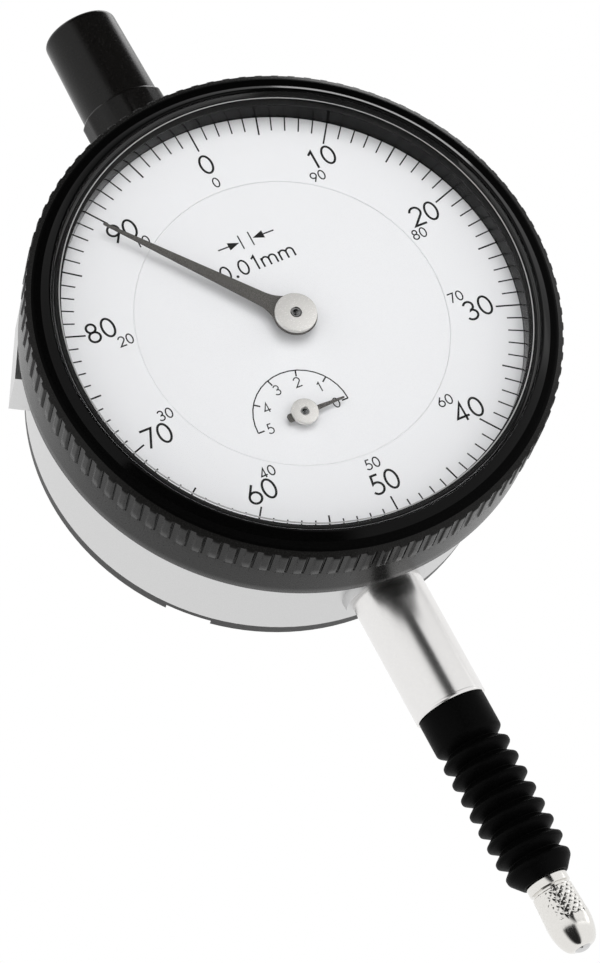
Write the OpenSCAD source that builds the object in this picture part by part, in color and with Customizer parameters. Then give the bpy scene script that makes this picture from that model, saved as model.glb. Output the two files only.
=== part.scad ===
// Dial indicator with a 5 mm range, a rubber boot over the spindle and a closed top cap.
// The dial faces -Y, the spindle runs along Z, and the origin is the middle of the clamping stem.
// In the dial's own frame x is right, y is up and depth counts backwards from the dial face.

/* [Case] */
// Outer diameter of the case
case_d = 52; // [51.5:0.5:58]
// Wall thickness of the case
case_wall = 1.7; // [1.4:0.1:2]
// Distance from the spindle axis to the rear edge of the case
case_back_room = 6.1; // [5.8:0.1:9]
// Wall left around the stem and the upper bush in their bosses
boss_wall = 0.7; // [0.6:0.1:1.4]
// How far the lower boss stands out of the case
stem_boss_out = 0.6; // [0.3:0.1:2]
// How far the upper boss stands out of the case
top_boss_out = 2.6; // [1.5:0.1:4]
// Width of the flat pad on the side of the case
pad_w = 9.8; // [6:0.1:14]
// Size of the side pad from front to back
pad_depth = 7; // [4:0.1:8]
// Height of the side pad above the case
pad_out = 1.75; // [0.8:0.05:2]
// Place of the side pad, clockwise from the top of the dial
pad_angle = 300; // [285:1:315]

/* [Back cover] */
// Thickness of the cover's rim
cover_rim_t = 0.7; // [0.5:0.05:1.2]
// Height of the cover's raised middle over its rim
cover_raise = 0.7; // [0.7:0.05:1.2]
// Thickness of the flat gasket under the cover
gasket_t = 0.2; // [0.1:0.05:0.4]
// Width of the notch over each cover screw
cover_notch_w = 5; // [4.4:0.1:7]
// Thread diameter of the cover screws
cover_screw_d = 1.9; // [1.4:0.1:2.2]

/* [Bezel] */
// Radial thickness of the bezel outside its bore and the dial's recess
bezel_wall = 2.35; // [2.2:0.05:3.5]
// Distance that the bezel's skirt reaches behind the dial face
bezel_back = 6.7; // [6.3:0.1:7.6]
// Narrowing of the skirt from the grip to its rear edge
skirt_taper = 0.1; // [0:0.05:0.8]
// Height of the inner wall between the dial and the crystal
dial_well = 2.4; // [2.4:0.1:4]
// Diameter of the dial that shows through the bezel
dial_window_d = 49.2; // [46:0.1:56]
// Lap of the dial ring behind the edge of its window
dial_lap = 1.2; // [1:0.05:1.6]
// Thickness of the crystal
crystal_t = 1; // [0.6:0.1:2]
// Lap of the crystal on its seat
crystal_lap = 0.6; // [0.5:0.05:1]
// Height of the bezel's lip over the crystal
lip_over = 0.25; // [0.2:0.05:0.6]
// Number of grip ribs round the bezel
grip_count = 100; // [60:1:110]
// Width of the gap between two ribs
grip_w = 0.95; // [0.6:0.05:1]
// Height of the ribs over the skirt
grip_depth = 0.16; // [0.1:0.02:0.3]
// Turn of the gaps from the middle of a scale mark
grip_turn = 0.8; // [0:0.1:3]
// Distance that the ribs reach behind the dial face
grip_back = 1.3; // [0.4:0.1:3]

/* [Dial and hands] */
// Thickness of the dial plates
dial_t = 0.5; // [0.3:0.05:0.8]
// Diameter of the fixed inner dial
inner_dial_d = 33.3; // [30:0.1:40]
// Reach of the long hand from its centre
main_hand_len = 22.2; // [18:0.1:23]
// Diameter of the long hand's hub
main_hub_d = 4.5; // [3.6:0.1:6]
// Reading of the long hand at rest, clockwise from the top
main_hand_angle = 321.5; // [0:0.5:359.5]
// Reach of the short hand from its centre
small_hand_len = 4.7; // [3.6:0.1:6]
// Diameter of the short hand's hub
small_hub_d = 2.9; // [2.4:0.1:3.6]

/* [Stem and spindle] */
// Diameter of the clamping stem
stem_d = 8; // [7.6:0.1:9.6]
// Length of the clamping stem below its boss
stem_len = 14.7; // [10:0.1:25]
// Chamfer at the lower end of the stem
stem_chamfer = 0.35; // [0.1:0.05:0.6]
// Distance of the spindle axis behind the dial face
spindle_back = 14.1; // [13.6:0.1:18]
// Diameter of the spindle
spindle_d = 4; // [3.6:0.1:4.3]
// Full travel of the spindle
travel = 5.3; // [4:0.1:6]

/* [Rubber boot and contact] */
// Length of the boot's upper cuff
boot_cuff_len = 3.9; // [3:0.1:6]
// Thickness of the boot's upper cuff
boot_cuff_t = 0.72; // [0.5:0.02:0.9]
// Diameter over the folds of the boot
boot_crest_d = 7.66; // [7:0.02:8.6]
// Diameter in the grooves between the folds
boot_groove_d = 5.7; // [5.5:0.1:6]
// Wall thickness of the boot's folds
boot_wall = 0.34; // [0.2:0.02:0.36]
// Number of folds
boot_folds = 7; // [5:1:9]
// Distance from fold to fold
boot_pitch = 1.91; // [1.6:0.01:2.4]
// Length of the boot's lower cuff
boot_end_len = 2.6; // [2:0.1:4]
// Diameter of the contact point at its widest
contact_d = 4.8; // [4.6:0.1:6]
// Length of the contact point below the boot
contact_len = 8.3; // [7:0.1:12]

/* [Cap] */
// Diameter of the cap at its lower end
cap_d = 8.94; // [8.6:0.02:10]
// Diameter of the cap just under its top
cap_top_d = 8.5; // [8:0.02:8.6]
// Length of the cap above its collar
cap_len = 11; // [9:0.1:16]
// Length of the collar under the cap
collar_len = 6.9; // [4:0.1:9]
// How far the collar stands out round the cap
collar_out = 0.48; // [0.3:0.02:0.9]
// Number of flats round the collar
collar_flats = 12; // [6:1:12]
// Turn of the collar's flats about the spindle axis
collar_turn = 21.6; // [0:0.1:60]

/* [Movement] */
// Module of the big gears and the centre pinion
gear_module = 0.2; // [0.18:0.005:0.2]
// Teeth on the big gears
gear_teeth = 100; // [80:10:100]
// Teeth on the centre pinion
pinion_teeth = 10; // [10:2:14]
// Tooth spacing of the rack
rack_pitch = 0.625; // [0.55:0.005:0.66]
// Teeth on the rack pinion
rack_pinion_teeth = 16; // [14:1:18]
// Thickness of the movement plates
plate_t = 1.2; // [0.9:0.1:1.5]
// Length of the pillars between the plates
pillar_len = 5.6; // [5.4:0.1:6]
// Turns of the hairspring
hairspring_turns = 6; // [3:1:7]

/* [Hidden] */
$fn = 96;
// Fits: running gap of turning or sliding pieces, and gap of pieces that are fixed together
run_gap = 0.02;
fixed_gap = 0.01;
bezel_run = 0.05;
rest_gap = 0.1;
// Radii
case_r = case_d / 2;
case_in_r = case_r - case_wall;
spindle_r = spindle_d / 2;
stem_r = stem_d / 2;
bore_r = case_r + bezel_run;
window_r = dial_window_d / 2;
recess_r = window_r + dial_lap;
bezel_r = max(bore_r, recess_r) + bezel_wall;
crystal_r = window_r + crystal_lap;
crystal_seat_r = crystal_r + fixed_gap;
inner_dial_r = inner_dial_d / 2;

// Teeth: height over and under the pitch line in modules, and width at tip and root as a share of the pitch
tooth_add = 0.8;
tooth_ded = 1.25;
tip_share = 0.2;
root_share = 0.56;
// Round openings in the big gears, as a share of their radius
web_place_share = 0.58;
web_size_share = 0.22;
rack_module = rack_pitch / PI;
rack_pinion_r = rack_pinion_teeth * rack_module / 2;
gear_r = gear_teeth * gear_module / 2;
centre_distance = gear_r + pinion_teeth * gear_module / 2;
rack_floor = 0.24;
rack_line = spindle_r + rack_floor + tooth_ded * rack_module;
sleeve_r = rack_line + tooth_add * rack_module + rest_gap;
// The rack arbor meshes with the rack and with the centre pinion, which settles its place on the dial
arbor_x = -(rack_line + rack_pinion_r);
arbor_y = -sqrt(centre_distance ^ 2 - arbor_x ^ 2);
rack_arbor = [arbor_x, arbor_y];
hair_arbor = -rack_arbor;
arbor_angle = atan2(arbor_y, arbor_x);

// Depths behind the dial face
retainer_t = 0.4;
retainer_gap = 0.4;
recess_d = dial_t + retainer_t;
case_front = recess_d + retainer_gap;
front_plate_d = case_front + rest_gap;
ledge_d = front_plate_d + plate_t;
ledge_t = 1.4;
gear_room = 1.6;
gear_d = ledge_d + gear_room;
gear_t = 0.6;
pinion_over = 0.5;
coil_room = 1.4;
coil_d = gear_d + gear_t + coil_room;
coil_t = 0.8;
rear_plate_d = ledge_d + pillar_len;
rear_plate_back = rear_plate_d + plate_t;
rack_pinion_w = 3;
cock_room = 1;
cock_d = spindle_back + rack_pinion_w / 2 + cock_room;
cock_t = 1.2;
case_depth = spindle_back + case_back_room;
cover_d = case_depth + gasket_t;
cover_step_d = cover_d + cover_rim_t;
cover_back = cover_step_d + cover_raise;
// Heights in front of the dial face
crystal_gasket_t = 0.3;
crystal_h = dial_well + crystal_gasket_t;
lip_h = crystal_h + crystal_t + lip_over;
small_hand_h = 0.55;
small_hand_t = 0.2;
small_hub_t = 0.35;
main_hand_h = 1.3;
main_hand_t = 0.25;
main_hub_t = 0.5;

// Movement plates and the ledge in the case that carries them
ledge_w = 2.3;
ledge_r = case_in_r - ledge_w;
front_plate_r = case_in_r - rest_gap;
rear_plate_room = 0.5;
rear_plate_r = ledge_r - rear_plate_room;
pillar_r = 1.4;
pillar_edge = 3;
pillar_place = rear_plate_r - pillar_edge;
pillar_half_angle = 62;
pillar_angles = [for (half = [0, 180], side = [-1, 1]) arbor_angle + half + side * pillar_half_angle];
jewel_r = 1.1;
pivot_r = 0.4;
centre_pivot_r = 0.5;
arbor_r = 0.7;
rack_arbor_r = 0.8;
arbor_room = 0.2;
collet_r = 1.4;
small_screw_r = 0.6;
small_head_r = 1;
small_head_t = 0.45;
slot_share = 0.3;
movement_screw_place = ledge_r + ledge_w / 2;
movement_screw_angles = [20, 140, 260];
// Length of a thread's end that stays empty, and how far a cutting shape runs past what it cuts
thread_end = 0.2;
past = 1;
pillar_thread = 2.5;
// Hands: collars under their hubs
main_collar_r = 1;
main_collar_h = 0.4;
small_collar_r = 0.75;
small_collar_h = 0.25;
hub_recess = 0.1;
// Dial plates
dial_drop = 0.05;
dial_hole_room = 0.6;
dial_seat_in = 0.5;
dial_seat_w = 2.5;
retainer_w = 1;
// Hairspring: strip, pitch from turn to turn and the stud at its outer end
hair_start = 0.25;
hair_in_r = collet_r + hair_start;
hair_pitch = 0.8;
hair_strip = 0.12;
hair_out_r = hair_in_r + hair_pitch * hairspring_turns;
stud_r = 0.45;
hair_stud = hair_arbor + [hair_out_r + hair_strip + stud_r + run_gap, 0];
// Rack arbor cock
cock_w = 6;
cock_reach = 4.9;
cock_leg_x = arbor_x - cock_reach;
cock_leg_w = 1.5;
cock_arm_wall = 0.45;
cock_foot_w = 4.5;
cock_foot_t = 1.4;
cock_screw_in = 2.15;
cock_screw_edge = 1.3;
cock_screw_places = [for (s = [-1, 1])
    [cock_leg_x - cock_screw_in, arbor_y + s * (cock_w / 2 - cock_screw_edge)]];

// Heights along the spindle axis, counted from the dial's centre
rack_end_room = 1.7;
rack_low = arbor_y - travel - rack_end_room;
rack_high = arbor_y + rack_end_room;
sleeve_end = 3.4;
sleeve_cap = 2;
sleeve_low = rack_low - sleeve_end;
sleeve_high = rack_high + sleeve_cap;
washer_t = 0.8;
washer_room = 0.25;
stem_in = sleeve_low - rest_gap - washer_t;
stem_top = -(case_r + stem_boss_out);
stem_low = stem_top - stem_len;
dial_up = -(stem_top + stem_low) / 2;
boss_pad = 1;
boss_in = case_in_r - boss_pad;
stem_shoulder = 0.4;
stem_tail_r = stem_r - stem_shoulder;
boss_r = stem_r + boss_wall;
bush_wall = 0.6;
bush_r = spindle_r + run_gap + bush_wall;
stem_bore_r = bush_r + fixed_gap;
bush_len = 6;
spigot_wall = 0.4;
spigot_r = stem_bore_r + spigot_wall;
spigot_short = 0.2;
spigot_low = stem_low - boot_cuff_len + spigot_short;
cap_r = cap_d / 2;
cap_top_r = cap_top_d / 2;
cap_wall = 0.45;
cap_neck_r = cap_r - cap_wall;
cap_seat = case_r + top_boss_out;
cap_seal_t = 1;
cap_seal_in = 0.05;
collar_low = cap_seat + cap_seal_t;
cap_low = collar_low + collar_len;
cap_high = cap_low + cap_len;
cap_thread = 1.6;
cap_neck_high = cap_low + cap_thread;
cap_lid_t = 1.2;
upper_bush_r = stem_tail_r;
bearing_over = 2;
bearing_relief = 0.5;
cap_headroom = 1.5;
spindle_high = cap_high - cap_lid_t - travel - cap_headroom;

// Rubber boot
boot_low_r = boot_groove_d / 2;
boot_crest_r = boot_crest_d / 2;
boot_gap = 0.05;
boot_top = stem_low - boot_gap;
boot_cuff_low = boot_top - boot_cuff_len;
boot_cuff_r = spigot_r + run_gap + boot_cuff_t;
boot_neck = 0.75;
boot_fold_top = boot_cuff_low - boot_neck;
boot_fold_low = boot_fold_top - boot_folds * boot_pitch;
boot_low = boot_fold_low - boot_end_len;
boot_grip_r = spindle_r + run_gap;
boot_end_t = 0.56;
boot_end_r = boot_grip_r + boot_end_t;
spindle_low = boot_low - boot_gap;

// Contact point
contact_r = contact_d / 2;
contact_low = spindle_low - contact_len;
contact_taper = 0.12;
contact_collar_r = contact_r - contact_taper;
contact_stud_r = 1.25;
contact_stud_len = 4;
tip_r = 0.95;
tip_len = 1.3;
tip_high = contact_low + tip_len;

// Guide pin, its slotted rail and the return spring beside it
guide_pin_r = 0.7;
guide_below = 2.8;
guide_y = arbor_y - guide_below;
rail_room = 1.25;
rail_x = sleeve_r + rail_room;
rail_t = 1.6;
rail_foot_w = 5.6;
rail_foot_t = 1.4;
rail_end = 2.2;
rail_low = guide_y - guide_pin_r - rail_end;
rail_high = guide_y + travel + guide_pin_r + rail_end;
rail_over = 2.2;
rail_screw_in = 1.4;
rail_screw_edge = 1.6;
rail_screw_places = [for (h = [rail_low + rail_screw_edge, rail_high - rail_screw_edge])
    [rail_x + rail_foot_w - rail_screw_in, h]];
spring_side = 0.4;
spring_r = 1.2;
spring_x = rail_x + rail_t + spring_r + spring_side;
spring_wire = 0.4;
spring_gap = 0.3;
post_r = 0.8;
spring_len = 6;
post_y = guide_y - spring_len;

// Bezel ring and seal grooves
seal_d = ledge_d + ledge_t / 2;
seal_r = 0.44;
seal_out = 0.02;
seal_place = case_r + seal_out - seal_r;
seal_groove_w = 1;
seal_room = 0.04;
seal_groove_r = seal_place - seal_r - seal_room;
wire_from_edge = 1.4;
wire_d = bezel_back - wire_from_edge;
wire_r = 0.4;
wire_groove_w = 0.9;
wire_groove_depth = 0.45;

// Back cover screws
cover_screw_r = cover_screw_d / 2;
cover_head_lap = 0.95;
cover_head_r = cover_screw_r + cover_head_lap;
cover_head_t = 0.6;
cover_boss_wall = 1.45;
cover_boss_r = cover_screw_r + cover_boss_wall;
cover_edge = 0.7;
cover_screw_place = case_r - cover_head_r - cover_edge;
cover_screw_len = 4;
cover_screw_angles = [45, 135, 225, 315];
cover_boss_len = 8;
cover_boss_d = case_depth - cover_boss_len;

// Moves children into the dial's own frame: x right, y up, z towards the viewer, z = 0 on the dial face
module on_dial() { translate([0, -spindle_back, dial_up]) rotate([90, 0, 0]) children(); }

// Moves children onto the spindle axis, with heights counted from the dial's centre
module on_axis() { translate([0, 0, dial_up]) children(); }

// Fills a flat outline between two depths behind the dial face
module slab(d0, d1) { translate([0, 0, -d1]) linear_extrude(height = d1 - d0) children(); }

// A round disc or ring between two depths behind the dial face
module ring(r_out, r_in, d0, d1) {
    slab(d0, d1) difference() {
        circle(r_out);
        if (r_in > 0) circle(r_in);
    }
}

// A tube on the spindle axis between two heights
module tube(r_out, r_in, low, high) {
    translate([0, 0, low]) linear_extrude(height = high - low) difference() {
        circle(r_out);
        if (r_in > 0) circle(r_in);
    }
}

// Copies children to polar places on the dial
module around(place, angles) {
    for (a = angles) translate([place * cos(a), place * sin(a), 0]) children();
}

// A slotted screw with its head at the front of the seat and its shank behind it
module screw(head_r, head_t, shank_r, shank_len) {
    slot_w = head_r * slot_share;
    difference() {
        cylinder(r = head_r, h = head_t);
        translate([-head_r - past, -slot_w / 2, head_t / 2]) cube([2 * (head_r + past), slot_w, head_t]);
    }
    translate([0, 0, -shank_len]) cylinder(r = shank_r, h = shank_len);
}

// The same screw turned so that its head is at the rear
module rear_screw(head_r, head_t, shank_r, shank_len) {
    rotate([180, 0, 0]) screw(head_r, head_t, shank_r, shank_len);
}

// Outline of a gear with one tooth centred on the x axis
function gear_outline(teeth, module_size) =
    let (pitch_r = teeth * module_size / 2,
         root_r = pitch_r - tooth_ded * module_size,
         tip = pitch_r + tooth_add * module_size,
         corners = [[-root_share, root_r], [-tip_share, tip], [tip_share, tip], [root_share, root_r]])
    [for (k = [0 : teeth - 1], c = corners)
        let (a = 360 / teeth * (k + c[0] / 2)) c[1] * [cos(a), sin(a)]];

// Points on an arc of an ellipse, from one angle to another
function arc(centre, rx, ry, from, to, steps = 10) =
    [for (i = [0 : steps]) let (a = from + (to - from) * i / steps) centre + [rx * cos(a), ry * sin(a)]];

module case() {
    pad_sink = 0.3;
    seal_top = seal_d - seal_groove_w / 2;
    wire_top = wire_d - wire_groove_w / 2;
    wire_floor = case_r - wire_groove_depth;
    profile = [
        [case_in_r, -case_front], [case_r, -case_front],
        [case_r, -seal_top], [seal_groove_r, -seal_top],
        [seal_groove_r, -seal_top - seal_groove_w], [case_r, -seal_top - seal_groove_w],
        [case_r, -wire_top], [wire_floor, -wire_top],
        [wire_floor, -wire_top - wire_groove_w], [case_r, -wire_top - wire_groove_w],
        [case_r, -case_depth], [case_in_r, -case_depth],
        [case_in_r, -ledge_d - ledge_t], [ledge_r, -ledge_d - ledge_t],
        [ledge_r, -ledge_d], [case_in_r, -ledge_d]
    ];
    color("silver") difference() {
        union() {
            on_dial() {
                rotate_extrude() polygon(profile);
                around(cover_screw_place, cover_screw_angles)
                    slab(cover_boss_d, case_depth) circle(cover_boss_r);
                rotate(90 - pad_angle) translate([case_in_r + pad_sink, -pad_w / 2, 0])
                    slab(spindle_back - pad_depth / 2, spindle_back + pad_depth / 2)
                        square([case_wall - pad_sink + pad_out, pad_w]);
            }
            on_axis() {
                tube(boss_r, 0, stem_top, -boss_in);
                tube(boss_r, 0, boss_in, cap_seat);
            }
        }
        on_axis() {
            tube(stem_tail_r + fixed_gap, 0, stem_top - past, -boss_in + past);
            tube(upper_bush_r + fixed_gap, 0, boss_in - past, cap_seat + past);
        }
        on_dial() {
            around(cover_screw_place, cover_screw_angles)
                slab(case_depth - cover_screw_len, case_depth + past) circle(cover_screw_r + fixed_gap);
            around(movement_screw_place, movement_screw_angles)
                slab(ledge_d - past, ledge_d + ledge_t - thread_end) circle(small_screw_r + fixed_gap);
        }
    }
}

module stem() {
    profile = [
        [stem_bore_r, stem_in], [stem_tail_r, stem_in], [stem_tail_r, stem_top],
        [stem_r, stem_top], [stem_r, stem_low + stem_chamfer], [stem_r - stem_chamfer, stem_low],
        [spigot_r, stem_low], [spigot_r, spigot_low], [stem_bore_r, spigot_low]
    ];
    color("gainsboro") on_axis() rotate_extrude() polygon(profile);
}

module lower_bush() {
    color("goldenrod") on_axis() tube(bush_r, spindle_r + run_gap, spigot_low, spigot_low + bush_len);
}

module inner_bush() {
    color("goldenrod") on_axis() tube(bush_r, spindle_r + run_gap, stem_in - bush_len, stem_in);
}

module upper_bush() {
    bearing_high = cap_seat + bearing_over;
    relief_r = spindle_r + run_gap + bearing_relief;
    bearing_r = spindle_r + run_gap;
    profile = [
        [bearing_r, boss_in], [upper_bush_r, boss_in], [upper_bush_r, cap_seat],
        [cap_neck_r, cap_seat], [cap_neck_r, cap_neck_high], [relief_r, cap_neck_high],
        [relief_r, bearing_high], [bearing_r, bearing_high]
    ];
    color("goldenrod") on_axis() rotate_extrude() polygon(profile);
}

module cap_seal() {
    color("black") on_axis() tube(cap_r - cap_seal_in, cap_neck_r + fixed_gap, cap_seat, collar_low);
}

module cap_collar() {
    out_r = cap_r + collar_out;
    edge = 0.35;
    turned = [
        [0, collar_low], [out_r, collar_low], [out_r, cap_low - edge], [out_r - edge, cap_low], [0, cap_low]
    ];
    color([0.08, 0.08, 0.08]) on_axis() difference() {
        intersection() {
            translate([0, 0, collar_low]) rotate(collar_turn)
                cylinder(r = out_r, h = collar_len, $fn = collar_flats);
            rotate_extrude() polygon(turned);
        }
        tube(cap_neck_r + fixed_gap, 0, collar_low - past, cap_low + past);
    }
}

module top_cap() {
    round_r = 0.6;
    wall = 0.9;
    bore = cap_top_r - wall;
    thread_high = cap_neck_high + rest_gap;
    profile = concat(
        [[cap_neck_r + fixed_gap, cap_low], [cap_r, cap_low]],
        arc([cap_top_r - round_r, cap_high - round_r], round_r, round_r, 0, 90, 6),
        [[0, cap_high], [0, cap_high - cap_lid_t], [bore, cap_high - cap_lid_t],
         [bore, thread_high], [cap_neck_r + fixed_gap, thread_high]]
    );
    color([0.1, 0.1, 0.1]) on_axis() rotate_extrude() polygon(profile);
}

module back_cover() {
    notch_from = cover_screw_place - cover_notch_w / 2;
    color([0.25, 0.25, 0.25]) on_dial() difference() {
        ring(case_r - rest_gap, 0, cover_d, cover_back);
        for (a = cover_screw_angles) rotate(a) slab(cover_step_d, cover_back + past)
            translate([notch_from, -cover_notch_w / 2]) square([case_r, cover_notch_w]);
        around(cover_screw_place, cover_screw_angles)
            slab(cover_d - past, cover_back + past) circle(cover_screw_r + fixed_gap);
    }
}

module back_cover_gasket() {
    gasket_edge = 0.3;
    screw_room = 0.5;
    gasket_in_r = cover_screw_place + cover_screw_r + screw_room;
    color("dimgray") on_dial() ring(case_r - gasket_edge, gasket_in_r, case_depth, cover_d);
}

module back_cover_screws() {
    shank_len = cover_step_d - case_depth + cover_screw_len - thread_end;
    color("gray") on_dial() around(cover_screw_place, cover_screw_angles) translate([0, 0, -cover_step_d])
        rear_screw(cover_head_r, cover_head_t, cover_screw_r, shank_len);
}

module front_plate() {
    color("burlywood") on_dial() difference() {
        ring(front_plate_r, 0, front_plate_d, ledge_d);
        for (p = [rack_arbor, [0, 0], hair_arbor]) translate(p)
            slab(front_plate_d - past, ledge_d + past) circle(jewel_r + fixed_gap);
        around(movement_screw_place, movement_screw_angles)
            slab(front_plate_d - past, ledge_d + past) circle(small_screw_r + fixed_gap);
    }
}

module rear_plate() {
    color("burlywood") on_dial() difference() {
        ring(rear_plate_r, 0, rear_plate_d, rear_plate_back);
        for (p = [[0, 0], hair_arbor]) translate(p)
            slab(rear_plate_d - past, rear_plate_back + past) circle(jewel_r + fixed_gap);
        translate(rack_arbor)
            slab(rear_plate_d - past, rear_plate_back + past) circle(rack_arbor_r + arbor_room);
        around(pillar_place, pillar_angles)
            slab(rear_plate_d - past, rear_plate_back + past) circle(small_screw_r + fixed_gap);
        for (p = concat(cock_screw_places, rail_screw_places)) translate(p)
            slab(rear_plate_d - past, rear_plate_back + past) circle(small_screw_r + fixed_gap);
    }
}

module plate_pillars() {
    color("khaki") on_dial() around(pillar_place, pillar_angles) difference() {
        ring(pillar_r, 0, ledge_d, rear_plate_d);
        ring(small_screw_r + fixed_gap, 0, rear_plate_d - pillar_thread, rear_plate_d + past);
    }
}

module pillar_screws() {
    color("steelblue") on_dial() around(pillar_place, pillar_angles) translate([0, 0, -rear_plate_back])
        rear_screw(small_head_r, small_head_t, small_screw_r, plate_t + pillar_thread - thread_end);
}

module movement_screws() {
    color("steelblue") on_dial() around(movement_screw_place, movement_screw_angles)
        translate([0, 0, -front_plate_d])
            screw(small_head_r, small_head_t, small_screw_r, plate_t + ledge_t - 2 * thread_end);
}

module inner_dial() {
    color("whitesmoke") on_dial() difference() {
        ring(inner_dial_r, 0, dial_drop, dial_t);
        ring(centre_pivot_r + dial_hole_room, 0, -past, dial_t + past);
        translate(rack_arbor) ring(pivot_r + dial_hole_room, 0, -past, dial_t + past);
    }
}

module dial_seat() {
    seat_r = inner_dial_r - dial_seat_in;
    color("lightgray") on_dial() ring(seat_r, seat_r - dial_seat_w, dial_t, front_plate_d);
}

// A leg on the rear plate with an arm that carries the rear pivot of the rack arbor
module rack_arbor_cock() {
    arm_end = arbor_x + jewel_r + cock_arm_wall;
    cock_back = cock_d + cock_t;
    foot_back = rear_plate_back + cock_foot_t;
    profile = [
        [cock_leg_x - cock_foot_w, -rear_plate_back], [cock_leg_x + cock_leg_w, -rear_plate_back],
        [cock_leg_x + cock_leg_w, -cock_d], [arm_end, -cock_d], [arm_end, -cock_back],
        [cock_leg_x, -cock_back], [cock_leg_x, -foot_back], [cock_leg_x - cock_foot_w, -foot_back]
    ];
    color("tan") on_dial() difference() {
        translate([0, arbor_y + cock_w / 2, 0]) rotate([90, 0, 0]) linear_extrude(height = cock_w)
            polygon(profile);
        translate(rack_arbor) slab(cock_d - past, cock_back + past) circle(jewel_r + fixed_gap);
        for (p = cock_screw_places) translate(p)
            slab(rear_plate_back - past, foot_back + past) circle(small_screw_r + fixed_gap);
    }
}

module cock_screws() {
    color("steelblue") on_dial() for (p = cock_screw_places)
        translate([p[0], p[1], -rear_plate_back - cock_foot_t])
            rear_screw(small_head_r, small_head_t, small_screw_r, cock_foot_t + plate_t - thread_end);
}

module guide_rail() {
    slot_r = guide_pin_r + run_gap;
    rail_back = spindle_back + guide_pin_r + rail_over;
    slot_low = guide_y - rest_gap;
    slot_high = guide_y + travel + rest_gap;
    foot_back = rear_plate_back + rail_foot_t;
    profile = [
        [rail_x, -rear_plate_back], [rail_x + rail_foot_w, -rear_plate_back],
        [rail_x + rail_foot_w, -foot_back], [rail_x + rail_t, -foot_back],
        [rail_x + rail_t, -rail_back], [rail_x, -rail_back]
    ];
    color("tan") on_dial() difference() {
        translate([0, rail_high, 0]) rotate([90, 0, 0]) linear_extrude(height = rail_high - rail_low)
            polygon(profile);
        translate([rail_x - past, 0, -spindle_back]) rotate([0, 90, 0])
            linear_extrude(height = rail_t + 2 * past) {
                translate([-slot_r, slot_low]) square([2 * slot_r, slot_high - slot_low]);
                translate([0, slot_low]) circle(slot_r);
                translate([0, slot_high]) circle(slot_r);
            }
        for (p = rail_screw_places) translate(p)
            slab(rear_plate_back - past, foot_back + past) circle(small_screw_r + fixed_gap);
    }
}

module guide_rail_screws() {
    color("steelblue") on_dial() for (p = rail_screw_places)
        translate([p[0], p[1], -rear_plate_back - rail_foot_t])
            rear_screw(small_head_r, small_head_t, small_screw_r, rail_foot_t + plate_t - thread_end);
}

module spring_post() {
    color("gray") on_dial() translate([spring_x, post_y, 0])
        ring(post_r, 0, rear_plate_back, spindle_back + spring_r);
}

module return_spring() {
    spring_low = post_y + post_r + spring_gap;
    spring_high = guide_y - guide_pin_r - spring_gap;
    color("darkgray") on_axis() translate([spring_x, 0, 0])
        tube(spring_r, spring_r - spring_wire, spring_low, spring_high);
}

// Flat spiral strip from the collet out to the stud
module hairspring() {
    steps = 24 * hairspring_turns;
    function side(offset) = [for (i = [0 : steps])
        let (a = 360 * hairspring_turns * i / steps, r = hair_in_r + hair_pitch * a / 360 + offset)
        r * [cos(a), sin(a)]];
    inner = side(0);
    outer = side(hair_strip);
    strip = concat(inner, [for (i = [steps : -1 : 0]) outer[i]]);
    color("royalblue") on_dial() translate(hair_arbor) slab(coil_d + rest_gap, coil_d + coil_t - rest_gap)
        polygon(strip);
}

module hairspring_stud() {
    color("gray") on_dial() translate(hair_stud) ring(stud_r, 0, coil_d - rest_gap, rear_plate_d);
}

module pivot_jewels() {
    color("crimson") on_dial() {
        translate(rack_arbor) ring(jewel_r, pivot_r + run_gap, front_plate_d, ledge_d);
        translate(rack_arbor) ring(jewel_r, pivot_r + run_gap, cock_d, cock_d + cock_t);
        ring(jewel_r, centre_pivot_r + run_gap, front_plate_d, ledge_d);
        ring(jewel_r, centre_pivot_r + run_gap, rear_plate_d, rear_plate_back);
        translate(hair_arbor) ring(jewel_r, pivot_r + run_gap, front_plate_d, ledge_d);
        translate(hair_arbor) ring(jewel_r, pivot_r + run_gap, rear_plate_d, rear_plate_back);
    }
}

module bezel_seal() {
    color("black") on_dial() translate([0, 0, -seal_d]) rotate_extrude()
        translate([seal_place, 0]) circle(seal_r, $fn = 32);
}

module bezel_retaining_ring() {
    color("gray") on_dial() translate([0, 0, -wire_d]) rotate_extrude(angle = 350)
        translate([case_r, 0]) circle(wire_r, $fn = 32);
}

module stop_washer() {
    color("saddlebrown") on_axis()
        tube(stem_tail_r, spindle_r + washer_room, stem_in, stem_in + washer_t);
}

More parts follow.
